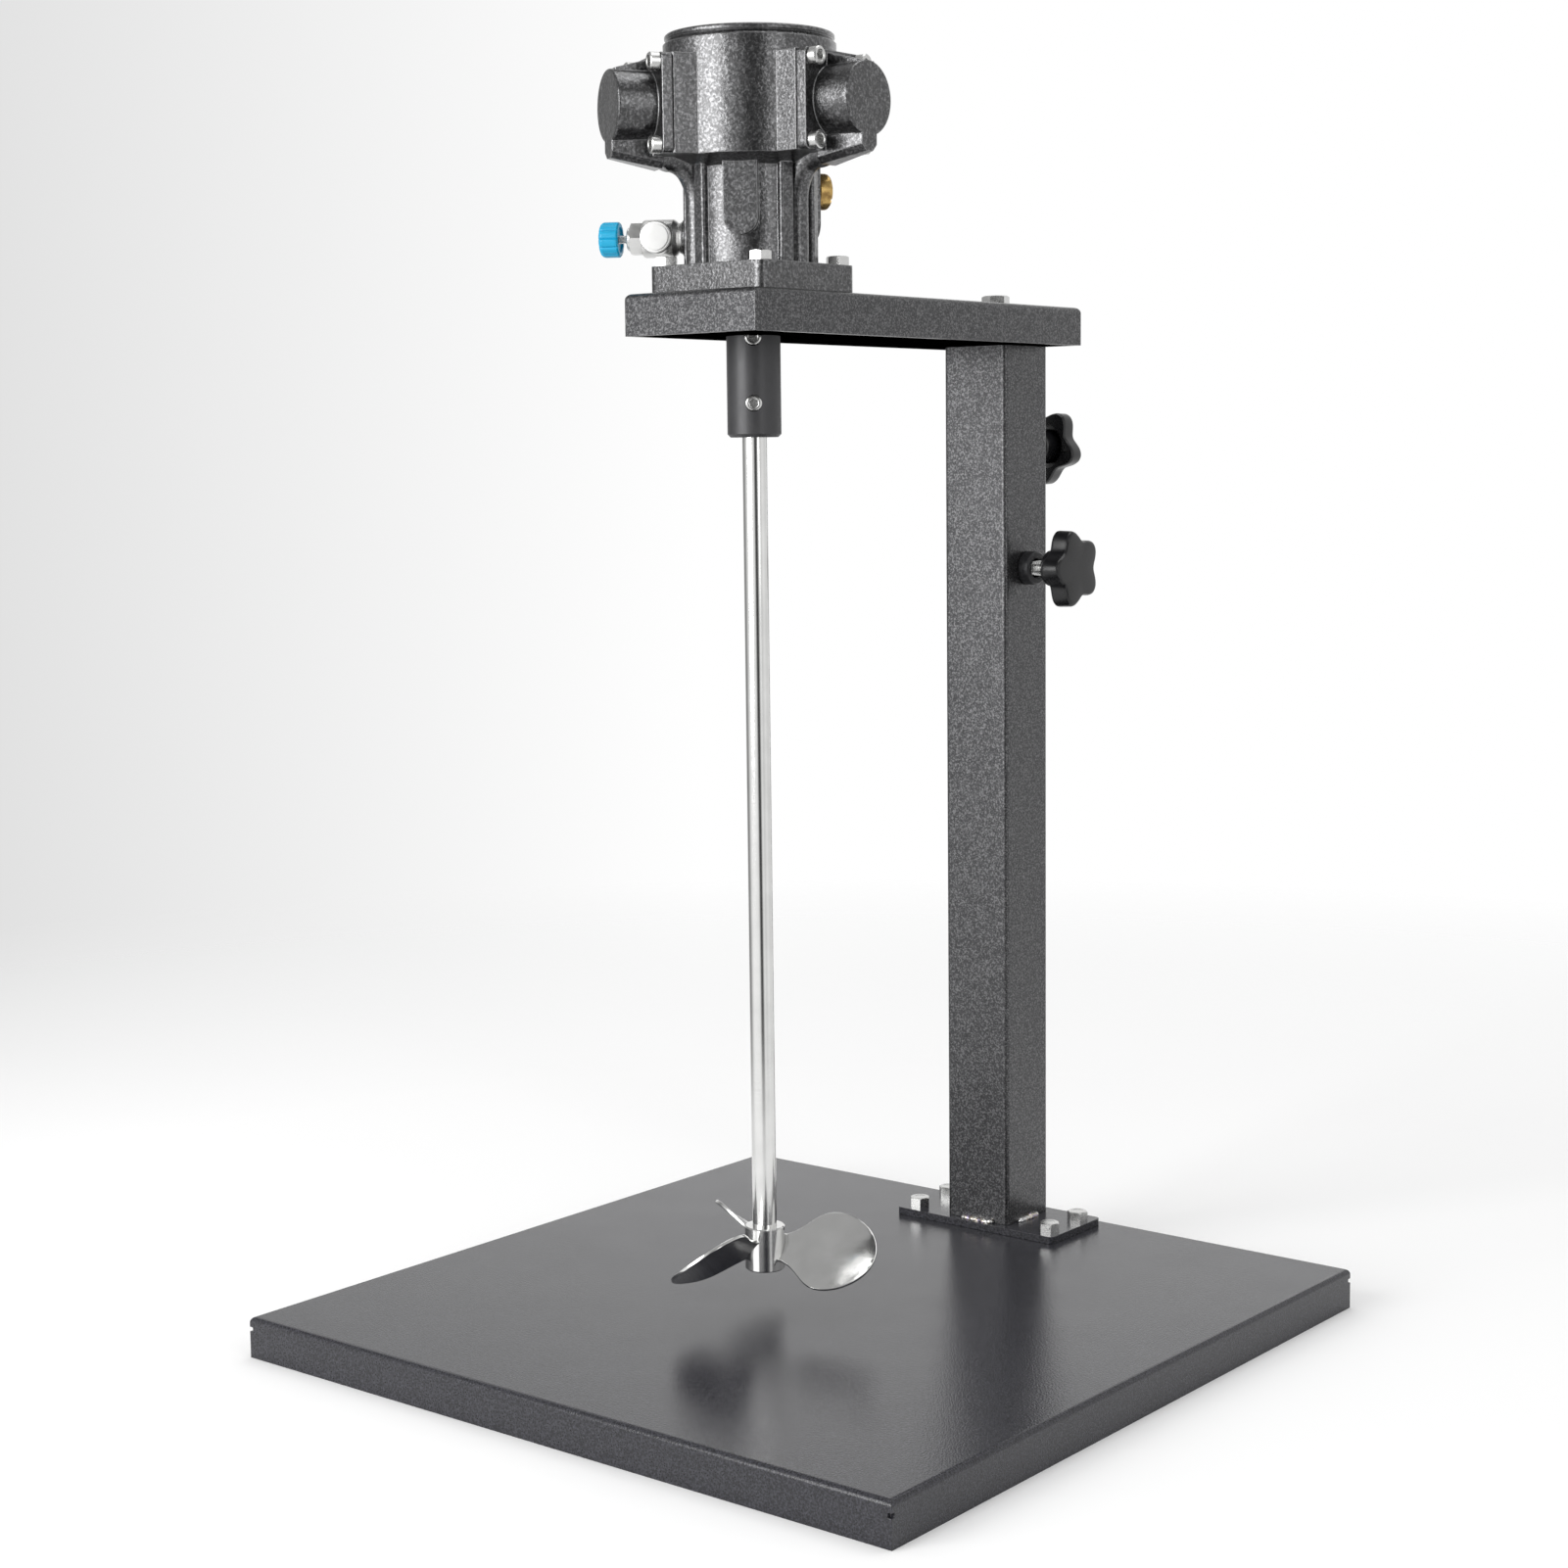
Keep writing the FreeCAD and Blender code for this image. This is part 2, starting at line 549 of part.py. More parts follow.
def arm_fasteners():
    """The bolt that holds the arm to the mast, and the motor's four bolts and nuts."""
    bolt = hex_bolt("arm_bolt_solid", "arm_bolt_flat", "arm_bolt_head", "arm_bolt_round",
                    "(washer_thick + arm_sheet + plug_thick)")
    place(keep(bolt, "arm_bolt"), y=MAST_Y, z=f"{ARM_TOP} + washer_thick")
    washer = ring("arm_washer_solid", "arm_washer_round", "arm_bolt_round + 2 * fit_gap",
                  "washer_thick")
    place(keep(washer, "arm_washer"), y=MAST_Y, z=ARM_TOP)
    bolts, nuts = [], []
    drop = "flange_thick + arm_sheet + nut_thick"
    for number, (x, y) in enumerate(four_corners(FLANGE_SPAN)):
        bolt = hex_bolt(f"flange_bolt_{number}", "flange_bolt_flat", "flange_bolt_head", "flange_bolt_round",
                        f"({drop} + bolt_proud)")
        nut = hex_nut(f"flange_nut_{number}", "flange_bolt_flat",
                      "flange_bolt_round + 2 * fit_gap", "nut_thick", z=f"0 - ({drop})")
        for item, pieces in ((bolt, bolts), (nut, nuts)):
            place(item, x, y)
            pieces.append(item)
    for name, pieces in (("flange_bolts", bolts), ("flange_nuts", nuts)):
        place(group(name + "_group", pieces, name), y=STIRRER_Y, z=f"{ARM_TOP} + flange_thick")


# Air motor: every piece is built on the motor's axis, from the flange's underside up

def place_motor(item, turn=0):
    """Set a piece on the motor's axis, turned about it by an angle in degrees."""
    place(item, y=STIRRER_Y, z=ARM_TOP, turn=Rotation(Vector(0, 0, 1), turn))


CYLINDER_TURNS = {"right": 0, "front": -120, "rear": 120}
VALVE_TURN = -150
SILENCER_TURN = 60


def motor_housing():
    """Casting: flange, ribbed neck that flares to three cylinder blocks, crankcase, bores."""
    body = new_body("motor_housing")
    place_motor(body)
    flange = new_sketch(body, "flange_plan")
    draw_rectangle(flange, "flange_side", "flange_side")
    pad(body, flange, "flange_block", "flange_thick")
    soften(body, "flange_corners", "flange_corner", upright)
    neck = new_sketch(body, "neck_plan", lift="flange_thick")
    draw_circle(neck, "neck_round")
    pad(body, neck, "neck_block", "neck_tall")
    case = new_sketch(body, "crankcase_plan", lift=BLOCK_LOW)
    draw_circle(case, "crank_round")
    pad(body, case, "crankcase_block", "block_tall + rim_tall")
    soften(body, "rim", "rim_bevel", lambda edge: level(edge, CRANK_TOP), "Chamfer")
    housing_ribs(body)
    housing_blocks(body)
    housing_bores(body)


def housing_ribs(body):
    """Under each cylinder two flat ribs, between the cylinders three blank pads."""
    ribs = []
    for side in (1, -1):
        plan = new_sketch(body, f"rib_plan_{side + 1}", lift="flange_thick")
        turn = Rotation(Vector(0, 0, 1), side * size("rib_turn"))
        plan.AttachmentOffset = Placement(Vector(0, 0, size("flange_thick")), turn)
        draw_rectangle(plan, "rib_reach", "rib_width", "rib_reach / 2")
        ribs.append(pad(body, plan, f"rib_block_{side + 1}", "neck_tall"))
    repeat_round(body, ribs, "rib_set", 3)
    front = "sqrt(rib_reach * rib_reach + rib_width * rib_width / 4)"
    soften(body, "rib_rounds", "rib_round", lambda edge: upright(edge) and edge.Length > size(
        "neck_tall") / 2 and abs(edge.Vertexes[0].Point.cross(
            Vector(0, 0, 1)).Length - size(front)) < 0.01)
    plate = new_sketch(body, "pad_plan", "YZ_Plane")
    low = f"({BLOCK_LOW} - pad_drop + pad_width / 2)"
    draw_rectangle(plate, "pad_width", f"{BLOCK_LOW} - {low}", "0", f"({BLOCK_LOW} + {low}) / 2")
    square = pad(body, plate, "pad_square", "pad_reach", reverse=True)
    tip = new_sketch(body, "pad_tip_plan", "YZ_Plane")
    draw_circle(tip, "pad_width", "0", low)
    rounded = pad(body, tip, "pad_round", "pad_reach", reverse=True)
    repeat_round(body, [square, rounded], "pad_set", 3)
    seat = new_sketch(body, "valve_seat_plan", "YZ_Plane")
    seat.AttachmentOffset = Placement(Vector(), Rotation(Vector(0, 1, 0), VALVE_TURN))
    draw_circle(seat, "seat_round", "0", VALVE_Z)
    pad(body, seat, "valve_seat", "seat_reach")


def housing_blocks(body):
    """Each cylinder block, with the upright web below it that flares out to the cap."""
    block = new_sketch(body, "block_plan", lift=BLOCK_LOW)
    half, edge = "block_wide / 2", "(block_wide / 2 - block_bevel)"
    draw_outline(block, [("0", f"0 - {half}"), ("block_reach - block_bevel", f"0 - {half}"),
                         ("block_reach", f"0 - {edge}"), ("block_reach", edge),
                         ("block_reach - block_bevel", half), ("0", half)])
    blocks = pad(body, block, "block_solid", "block_tall")
    flare = new_sketch(body, "flare_plan", "XZ_Plane")
    bend, low = "(flare_reach + flare_bend)", f"({BLOCK_LOW} - flare_drop)"
    draw_outline(flare, [("0", "flange_thick"), ("flare_reach", "flange_thick"),
                         ("flare_reach", low), ("block_reach", low), ("block_reach", BLOCK_LOW),
                         ("0", BLOCK_LOW)])
    flares = pad(body, flare, "flare_solid", "flare_wide", middle=True)
    hollow = new_sketch(body, "flare_hollow_plan", "XZ_Plane")
    draw_circle(hollow, "2 * flare_bend", bend, low)
    curve = pocket(body, hollow, "flare_hollow", "2 * flare_wide", middle=True)
    repeat_round(body, [blocks, flares, curve], "block_set", 3)
    soften(body, "flare_rounds", "flare_round", flare_front)
    skirt = new_sketch(body, "skirt_profile", "XZ_Plane")
    foot = f"({BLOCK_LOW} - skirt_drop)"
    draw_outline(skirt, [("0", foot), ("neck_round / 2", foot), ("crank_round / 2", BLOCK_LOW),
                         ("0", BLOCK_LOW)])
    spin(body, skirt, "skirt")


def flare_front(edge):
    """Whether an edge runs down one side of a web's outer face."""
    for turn in CYLINDER_TURNS.values():
        ends = [Rotation(Vector(0, 0, 1), -turn).multVec(end.Point) for end in edge.Vertexes]
        outside = all(end.x > size("flare_reach") - 0.01 and end.z < size(BLOCK_LOW) - 0.01
                      and abs(abs(end.y) - size("flare_wide / 2")) < 0.01 for end in ends)
        if outside and len(ends) == 2 and abs(ends[0].y - ends[1].y) < 0.01:
            return True
    return False


def housing_bores(body):
    """Crank chamber, bearing and seal seats, cylinder bores and the bolt holes."""
    inside = new_sketch(body, "chamber_profile", "XZ_Plane")
    seal, seat = "seal_round / 2", "bearing_round / 2"
    draw_outline(inside, [("0", "0"), (seal, "0"), (seal, "seal_tall"), (seat, "seal_tall"),
                          (seat, CHAMBER_LOW), ("chamber_round / 2", CHAMBER_LOW),
                          ("chamber_round / 2", CRANK_TOP), ("0", CRANK_TOP)])
    spin(body, inside, "chamber", "Groove")
    bore = new_sketch(body, "cylinder_bore_plan", "YZ_Plane")
    draw_circle(bore, "bore_round", "0", BORE_Z)
    first = pocket(body, bore, "cylinder_bore", "block_reach", reverse=True)
    repeat_round(body, [first], "cylinder_bores", 3)
    taps = new_sketch(body, "cap_tap_plan", "YZ_Plane", lift="block_reach")
    for y, z in four_corners(CAP_SPAN):
        draw_circle(taps, "screw_round + 2 * fit_gap", y, f"{BORE_Z} + {z}")
    tap = pocket(body, taps, "cap_tap", "screw_length - cap_thick + tap_spare")
    repeat_round(body, [tap], "cap_taps", 3)
    holes = new_sketch(body, "flange_hole_plan", lift="flange_thick")
    for x, y in four_corners(FLANGE_SPAN):
        draw_circle(holes, "flange_bolt_round + 2 * bolt_gap", x, y)
    pocket(body, holes, "flange_holes", "flange_thick")


def motor_lid():
    """Screwed-in lid with a groove at its joint and a spigot that seats the top bearing."""
    body = new_body("motor_lid")
    place_motor(body)
    profile = new_sketch(body, "lid_profile", "XZ_Plane")
    rim, low, top = "lid_round / 2", CRANK_TOP, f"({CRANK_TOP} + lid_thick)"
    seat, spigot = "top_bearing_round / 2 + fit_gap", "chamber_round / 2 - fit_gap"
    foot = f"({CRANK_TOP} - lid_spigot)"
    draw_outline(profile, [
        ("0", f"{foot} + top_bearing_tall"), (seat, f"{foot} + top_bearing_tall"), (seat, foot),
        (f"{seat} + lid_wall", foot),
        (f"{seat} + lid_wall", f"{low} - lid_recess"),
        (f"{spigot} - lid_wall", f"{low} - lid_recess"), (f"{spigot} - lid_wall", foot),
        (spigot, foot), (spigot, low), (f"{rim} - lid_groove", low),
        (f"{rim} - lid_groove", f"{low} + lid_groove"), (rim, f"{low} + lid_groove"),
        (rim, f"{top} - lid_edge"), (f"{rim} - lid_edge", top), ("0", top)])
    spin(body, profile, "lid_solid")


def cylinder_cap(name, turn):
    """Screwed cap: plate, long round boss over the liner, tapered duct below, rib above."""
    body = new_body("cap_" + name)
    place_motor(body, turn)
    plate = new_sketch(body, f"{name}_plate_plan", "YZ_Plane", lift="block_reach")
    draw_rectangle(plate, "block_wide", "block_tall", "0", BORE_Z)
    pad(body, plate, f"{name}_plate", "cap_thick")
    along_x = (lambda edge: abs(edge.Vertexes[0].X - edge.Vertexes[-1].X) > size("cap_thick") / 2)
    soften(body, f"{name}_corners", "cap_corner", along_x)
    boss = new_sketch(body, f"{name}_boss_plan", "YZ_Plane", lift="block_reach")
    draw_circle(boss, "cap_boss", "0", BORE_Z)
    pad(body, boss, f"{name}_boss", "cap_thick + cap_boss_tall")
    rim = (lambda edge: abs(edge.BoundBox.XMin - size(CAP_REACH)) < 0.01)
    soften(body, f"{name}_rim", "cap_edge", rim)
    ends = []
    for part, wide, drop, out in (("root", "duct_wide", "duct_root_drop", "block_reach"),
                                  ("tip", "duct_tip_wide", "duct_drop", CAP_REACH)):
        end = new_sketch(body, f"{name}_duct_{part}", "YZ_Plane", lift=out)
        side, low, cut = f"({wide}) / 2", f"({BLOCK_LOW} - {drop})", "duct_bevel"
        draw_outline(end, [(f"0 - {side}", BORE_Z), (f"0 - {side}", f"{low} + {cut}"),
                           (f"0 - {side} + {cut}", low), (f"{side} - {cut}", low),
                           (side, f"{low} + {cut}"), (side, BORE_Z)])
        ends.append(end)
    duct = body.newObject("PartDesign::AdditiveLoft", f"{name}_duct")
    duct.Profile = ends[0]
    duct.Sections = [ends[1]]
    duct.Ruled = True
    rib = new_sketch(body, f"{name}_rib_plan", "XZ_Plane")
    draw_outline(rib, [("block_reach", BORE_Z), (f"{CAP_REACH} - rib_setback", BORE_Z),
                       (f"{CAP_REACH} - rib_setback", f"{BORE_Z} + cap_boss / 2"),
                       ("block_reach", f"{BORE_Z} + block_tall / 2")])
    pad(body, rib, f"{name}_rib", "rib_top_wide", middle=True)
    room = new_sketch(body, f"{name}_room_plan", "YZ_Plane", lift="block_reach")
    draw_circle(room, "bore_round", "0", BORE_Z)
    pocket(body, room, f"{name}_room", f"{LINER_END} - block_reach", reverse=True)
    holes = new_sketch(body, f"{name}_hole_plan", "YZ_Plane", lift="block_reach")
    for y, z in four_corners(CAP_SPAN):
        draw_circle(holes, "screw_round + 2 * fit_gap", y, f"{BORE_Z} + {z}")
    pocket(body, holes, f"{name}_holes", "2 * cap_thick", reverse=True)


def cap_screws():
    """Twelve socket head screws, four to a cap."""
    screws = []
    for name, turn in CYLINDER_TURNS.items():
        corners = []
        for number, (y, z) in enumerate(four_corners(CAP_SPAN)):
            stem = f"screw_{name}_{number}"
            head = cylinder(stem + "_head", "screw_head", "screw_tall")
            shank = cylinder(stem + "_shank", "screw_round", "screw_length",
                             z="0 - screw_length")
            key = hexagon(stem + "_key", "screw_key", "screw_tall", z="screw_tall / 2")
            screw = minus(stem, union(stem + "_bar", [head, shank]), key)
            place(screw, CAP_FACE, y, f"{BORE_Z} + {z}", Rotation(Vector(0, 1, 0), 90))
            corners.append(screw)
        side = doc.addObject("Part::Compound", f"screws_{name}")
        side.Links = corners
        side.Placement = Placement(Vector(), Rotation(Vector(0, 0, 1), turn))
        screws.append(side)
    place_motor(group("cap_screw_group", screws, "cap_screws"))


def cylinder_liner(name, turn):
    body = new_body("liner_" + name)
    place_motor(body, turn)
    plan = new_sketch(body, f"{name}_liner_plan", "YZ_Plane", lift="chamber_round / 2")
    draw_circle(plan, "bore_round - 2 * fit_gap", "0", BORE_Z)
    draw_circle(plan, "bore_round - 2 * liner_wall", "0", BORE_Z)
    pad(body, plan, f"{name}_liner_wall", f"{LINER_END} - chamber_round / 2")


def piston(name, turn, stroke):
    """Piston, rod and crank shoe in one; stroke is its place from mid stroke."""
    crown = f"({LINER_END} - crank_throw - crown_gap)"
    middle = f"({crown} - piston_long / 2 + {stroke})"
    skirt_round = "bore_round - 2 * liner_wall - 2 * fit_gap"
    across = Rotation(Vector(0, 1, 0), 90)
    skirt = cylinder(f"{name}_skirt", skirt_round, "piston_long",
                     f"{middle} - piston_long / 2", "0", BORE_Z, across)
    rod_start = f"{SHOE_INNER} + {stroke} + shoe_thick / 2"
    rod = cylinder(f"{name}_rod", "rod_round", f"{middle} - ({rod_start})", rod_start, "0",
                   BORE_Z, across)
    shoe = ring(f"{name}_shoe_ring", f"2 * ({SHOE_INNER} + shoe_thick)", f"2 * {SHOE_INNER}",
                "shoe_tall", z=f"{BORE_Z} - shoe_tall / 2")
    place(shoe, x=stroke)
    window = solid("Box", f"{name}_window", Length=f"2 * {SHOE_INNER}", Width="shoe_wide",
                   Height="shoe_tall")
    place(window, stroke, "0 - shoe_wide / 2", f"{BORE_Z} - shoe_tall / 2")
    foot = doc.addObject("Part::MultiCommon", f"{name}_shoe")
    foot.Shapes = [shoe, window]
    place_motor(keep(union(f"{name}_piston_solid", [skirt, rod, foot]), "piston_" + name), turn)


def crankshaft():
    """Output shaft, bearing journal, web, throw pin and top journal."""
    body = new_body("crankshaft")
    place_motor(body)
    profile = new_sketch(body, "crank_profile", "XZ_Plane")
    out, journal, web = "output_round / 2", "journal_round / 2", "web_round / 2"
    web_low = f"({CHAMBER_LOW} + web_lift)"
    draw_outline(profile, [("0", "0 - output_length"), (out, "0 - output_length"),
                           (out, "seal_tall + side_gap"), (journal, "seal_tall + side_gap"),
                           (journal, web_low), (web, web_low), (web, f"{web_low} + web_thick"),
                           ("0", f"{web_low} + web_thick")])
    spin(body, profile, "crank_lower")
    pin_low = f"{web_low} + web_thick"
    pin = new_sketch(body, "pin_plan", lift=pin_low)
    draw_circle(pin, "pin_round", "crank_throw")
    pin_tall = "roller_tall + 2 * side_gap"
    pad(body, pin, "crank_pin", pin_tall)
    cheek = new_sketch(body, "cheek_plan", lift=f"{pin_low} + {pin_tall}")
    draw_circle(cheek, "cheek_round")
    pad(body, cheek, "crank_cheek", "cheek_thick")
    top_low = f"({pin_low} + {pin_tall} + cheek_thick)"
    top = new_sketch(body, "top_journal_plan", lift=top_low)
    draw_circle(top, "top_journal")
    pad(body, top, "crank_top_journal",
        f"{CRANK_TOP} - lid_spigot + top_bearing_tall - side_gap - {top_low}")


def crank_pieces():
    """Roller on the throw pin, rotary air valve, bearings and shaft seal."""
    roller = ring("roller", "roller_round", "pin_round + 2 * fit_gap", "roller_tall",
                  z=f"{CHAMBER_LOW} + web_lift + web_thick + side_gap")
    carried = doc.addObject("Part::Compound", "roller_at_throw")
    carried.Links = [roller]
    place(carried, x="crank_throw")
    place_motor(group("crank_roller_group", [carried], "crank_roller"))
    sleeve_low = "seal_tall + bearing_tall + 2 * side_gap"
    sleeve = new_body("rotary_valve")
    place_motor(sleeve)
    plan = new_sketch(sleeve, "sleeve_plan", lift=sleeve_low)
    draw_circle(plan, "bearing_round - 2 * fit_gap")
    draw_circle(plan, "journal_round + 2 * fit_gap")
    pad(sleeve, plan, "sleeve_block", "sleeve_tall")
    port = new_sketch(sleeve, "sleeve_port_plan", "YZ_Plane", lift="bearing_round / 2")
    draw_rectangle(port, "journal_round", "sleeve_tall / 3", "0",
                   f"{sleeve_low} + sleeve_tall / 2")
    pocket(sleeve, port, "sleeve_port", "bearing_round / 2 - journal_round / 2 - 2")
    inner = "journal_round + 2 * fit_gap"
    outer = "bearing_round - 2 * fit_gap"
    lower = ring("lower_bearing_ring", outer, inner, "bearing_tall", z="seal_tall + side_gap")
    upper = ring("upper_bearing_ring", outer, inner, "bearing_tall",
                 z=f"{CHAMBER_LOW} - bearing_tall")
    top = ring("top_bearing_ring", "top_bearing_round", "top_journal + 2 * fit_gap",
               "top_bearing_tall", z=f"{CRANK_TOP} - lid_spigot")
    seal = ring("seal_ring", "seal_round - 2 * fit_gap", "output_round + 2 * fit_gap",
                "seal_tall")
    for item, label in ((lower, "lower_bearing"), (upper, "upper_bearing"),
                        (top, "top_bearing"), (seal, "shaft_seal")):
        place_motor(keep(item, label))


# Needle valve and silencer, built along +X from the motor's axis


def valve_body():
    """Round valve body with a tapped air port on one side and a nipple into the neck."""
    body = new_body("valve_body")
    place_motor(body, VALVE_TURN)
    nipple = new_sketch(body, "nipple_plan", "YZ_Plane", lift="seat_reach")
    draw_circle(nipple, "nipple_round", "0", VALVE_Z)
    pad(body, nipple, "nipple_block", "nipple_length")
    barrel = new_sketch(body, "valve_barrel_plan", "YZ_Plane", lift=VALVE_START)
    draw_circle(barrel, "valve_round", "0", VALVE_Z)
    pad(body, barrel, "valve_barrel", "valve_length")
    middle = f"({VALVE_START} + {VALVE_END}) / 2"
    port = new_sketch(body, "port_plan", "XZ_Plane")
    draw_circle(port, "port_round", middle, VALVE_Z)
    pad(body, port, "port_boss", "port_reach", reverse=True)
    thread = new_sketch(body, "port_bore_plan", "XZ_Plane", lift="0 - port_reach")
    draw_circle(thread, "port_bore", middle, VALVE_Z)
    pocket(body, thread, "port_bore_cut", "port_depth", reverse=True)
    needle = new_sketch(body, "needle_bore_plan", "YZ_Plane", lift=VALVE_END)
    draw_circle(needle, "stem_round + 2 * fit_gap", "0", VALVE_Z)
    pocket(body, needle, "needle_bore", "valve_length")


def valve_pieces():
    """Gland nut and the stem that slides in it."""
    across = Rotation(Vector(0, 1, 0), 90)
    nut = hex_nut("gland_nut", "gland_flat", "stem_round + 2 * fit_gap",
                  "gland_length")
    place(nut, VALVE_END, "0", VALVE_Z, across)
    place_motor(group("gland_group", [nut], "valve_gland"), VALVE_TURN)
    dial_inside = f"{DIAL_START} + dial_thick - dial_end_wall"
    stem = cylinder("stem_bar", "stem_round", "stem_length", f"{dial_inside} - stem_length",
                    "0", VALVE_Z, across)
    place_motor(group("stem_group", [stem], "valve_stem"), VALVE_TURN)


def valve_dial():
    """A cap with a domed end and flutes along its side."""
    body = new_body("valve_dial")
    place_motor(body, VALVE_TURN)
    profile = new_sketch(body, "dial_plan", "YZ_Plane", lift=DIAL_START)
    draw_circle(profile, "dial_round", "0", VALVE_Z)
    pad(body, profile, "dial_block", "dial_thick")
    end = (lambda edge: abs(edge.BoundBox.XMin - size(f"{DIAL_START} + dial_thick")) < 0.01)
    soften(body, "dial_dome", "dial_edge", end)
    flutes = new_sketch(body, "flute_plan", "YZ_Plane", lift=DIAL_START)
    count = int(size("dial_flutes"))
    for number in range(count):
        angle = f"{number} * 360 / dial_flutes"
        draw_circle(flutes, "flute_round", f"dial_round / 2 * cos({angle})",
                    f"{VALVE_Z} + dial_round / 2 * sin({angle})")
    pocket(body, flutes, "dial_flute_cuts", "dial_thick", reverse=True)
    bore = new_sketch(body, "dial_bore_plan", "YZ_Plane", lift=DIAL_START)
    draw_circle(bore, "stem_round + 2 * fit_gap", "0", VALVE_Z)
    pocket(body, bore, "dial_bore", "dial_thick - dial_end_wall + fit_gap", reverse=True)


def silencer():
    """Round exhaust silencer, screwed into the pad beside the rear cylinder."""
    body = new_body("silencer")
    place_motor(body, SILENCER_TURN)
    plan = new_sketch(body, "silencer_plan", "YZ_Plane", lift="pad_reach")
    draw_circle(plan, "silencer_round", "0", f"{BLOCK_LOW} - silencer_drop")
    pad(body, plan, "silencer_block", "silencer_tall")
    end = (lambda edge: abs(edge.BoundBox.XMin - size("pad_reach + silencer_tall")) < 0.01)
    soften(body, "silencer_edge", "silencer_tall / 4", end)


# Stirrer

SET_SCREWS = ("set_screw_end", "(coupling_tall - set_screw_end)")


def place_coupling(item):
    """Set a piece at the coupling's foot, turned so that its +Y side faces the set screws."""
    turn = Rotation(Vector(0, 0, 1), size("set_screw_turn") - 90)
    place(item, y=STIRRER_Y, z=COUPLING_LOW, turn=turn)


def coupling():
    """Rigid coupling: two bores end to end, with a set screw into each shaft."""
    body = new_body("coupling")
    place_coupling(body)
    profile = new_sketch(body, "coupling_profile", "XZ_Plane")
    out, bevel, tall = "coupling_round / 2", "coupling_bevel", "coupling_tall"
    low_bore = "shaft_round / 2 + fit_gap"
    high_bore = "output_round / 2 + fit_gap"
    split = f"({OUTPUT_END} - side_gap - {COUPLING_LOW})"
    draw_outline(profile, [(low_bore, "0"), (f"{out} - {bevel}", "0"), (out, bevel),
                           (out, f"{tall} - {bevel}"), (f"{out} - {bevel}", tall),
                           (high_bore, tall), (high_bore, split), (low_bore, split)])
    spin(body, profile, "coupling_solid")
    holes = new_sketch(body, "set_screw_plan", "XZ_Plane")
    for height in SET_SCREWS:
        draw_circle(holes, "set_screw + 2 * fit_gap", "0", height)
    pocket(body, holes, "set_screw_holes", "coupling_round")


def set_screws():
    screws = []
    for number, height in enumerate(SET_SCREWS):
        depth = "coupling_round / 2 - output_round / 2 - 3 * fit_gap"
        bar = cylinder(f"set_bar_{number}", "set_screw", depth)
        key = hexagon(f"set_key_{number}", "set_screw / 2", depth, z=f"({depth}) / 2")
        screw = minus(f"set_{number}", bar, key)
        place(screw, "0", "output_round / 2 + 2 * fit_gap", height,
              Rotation(Vector(1, 0, 0), -90))
        screws.append(screw)
    place_coupling(group("set_screw_group", screws, "coupling_screws"))


def stirrer_shaft():
    bar = solid("Cylinder", "shaft_bar", Radius="shaft_round / 2",
                Height=f"{OUTPUT_END} - 2 * side_gap - (hub_low - shaft_proud)")
    tip = doc.addObject("Part::Chamfer", "shaft_ends")
    doc.recompute()
    tip.Base = bar
    tip.Edges = round_edges(bar, "shaft_bevel")
    place(keep(tip, "stirrer_shaft"), y=STIRRER_Y, z="hub_low - shaft_proud")
    hub = ring("hub_ring", "hub_round", "shaft_round + 2 * fit_gap", "hub_tall")
    place(keep(hub, "propeller_hub"), y=STIRRER_Y, z="hub_low")


def blade_section(reach, width, pitch, cup, thick):
    """A cupped cross-section of the blade's sheet, square to the radius."""
    lean = Rotation(Vector(1, 0, 0), pitch)

    def point(along, lift):
        return lean.multVec(Vector(0, along, lift)) + Vector(reach, 0, 0)

    half = width / 2
    low = Part.Arc(point(-half, 0), point(0, -cup), point(half, 0)).toShape()
    high = Part.Arc(point(-half, thick), point(0, thick - cup), point(half, thick)).toShape()
    sides = [Part.makeLine(point(side * half, 0), point(side * half, thick)) for side in (-1, 1)]
    return Part.Wire(Part.__sortEdges__([low, sides[1], high, sides[0]]))


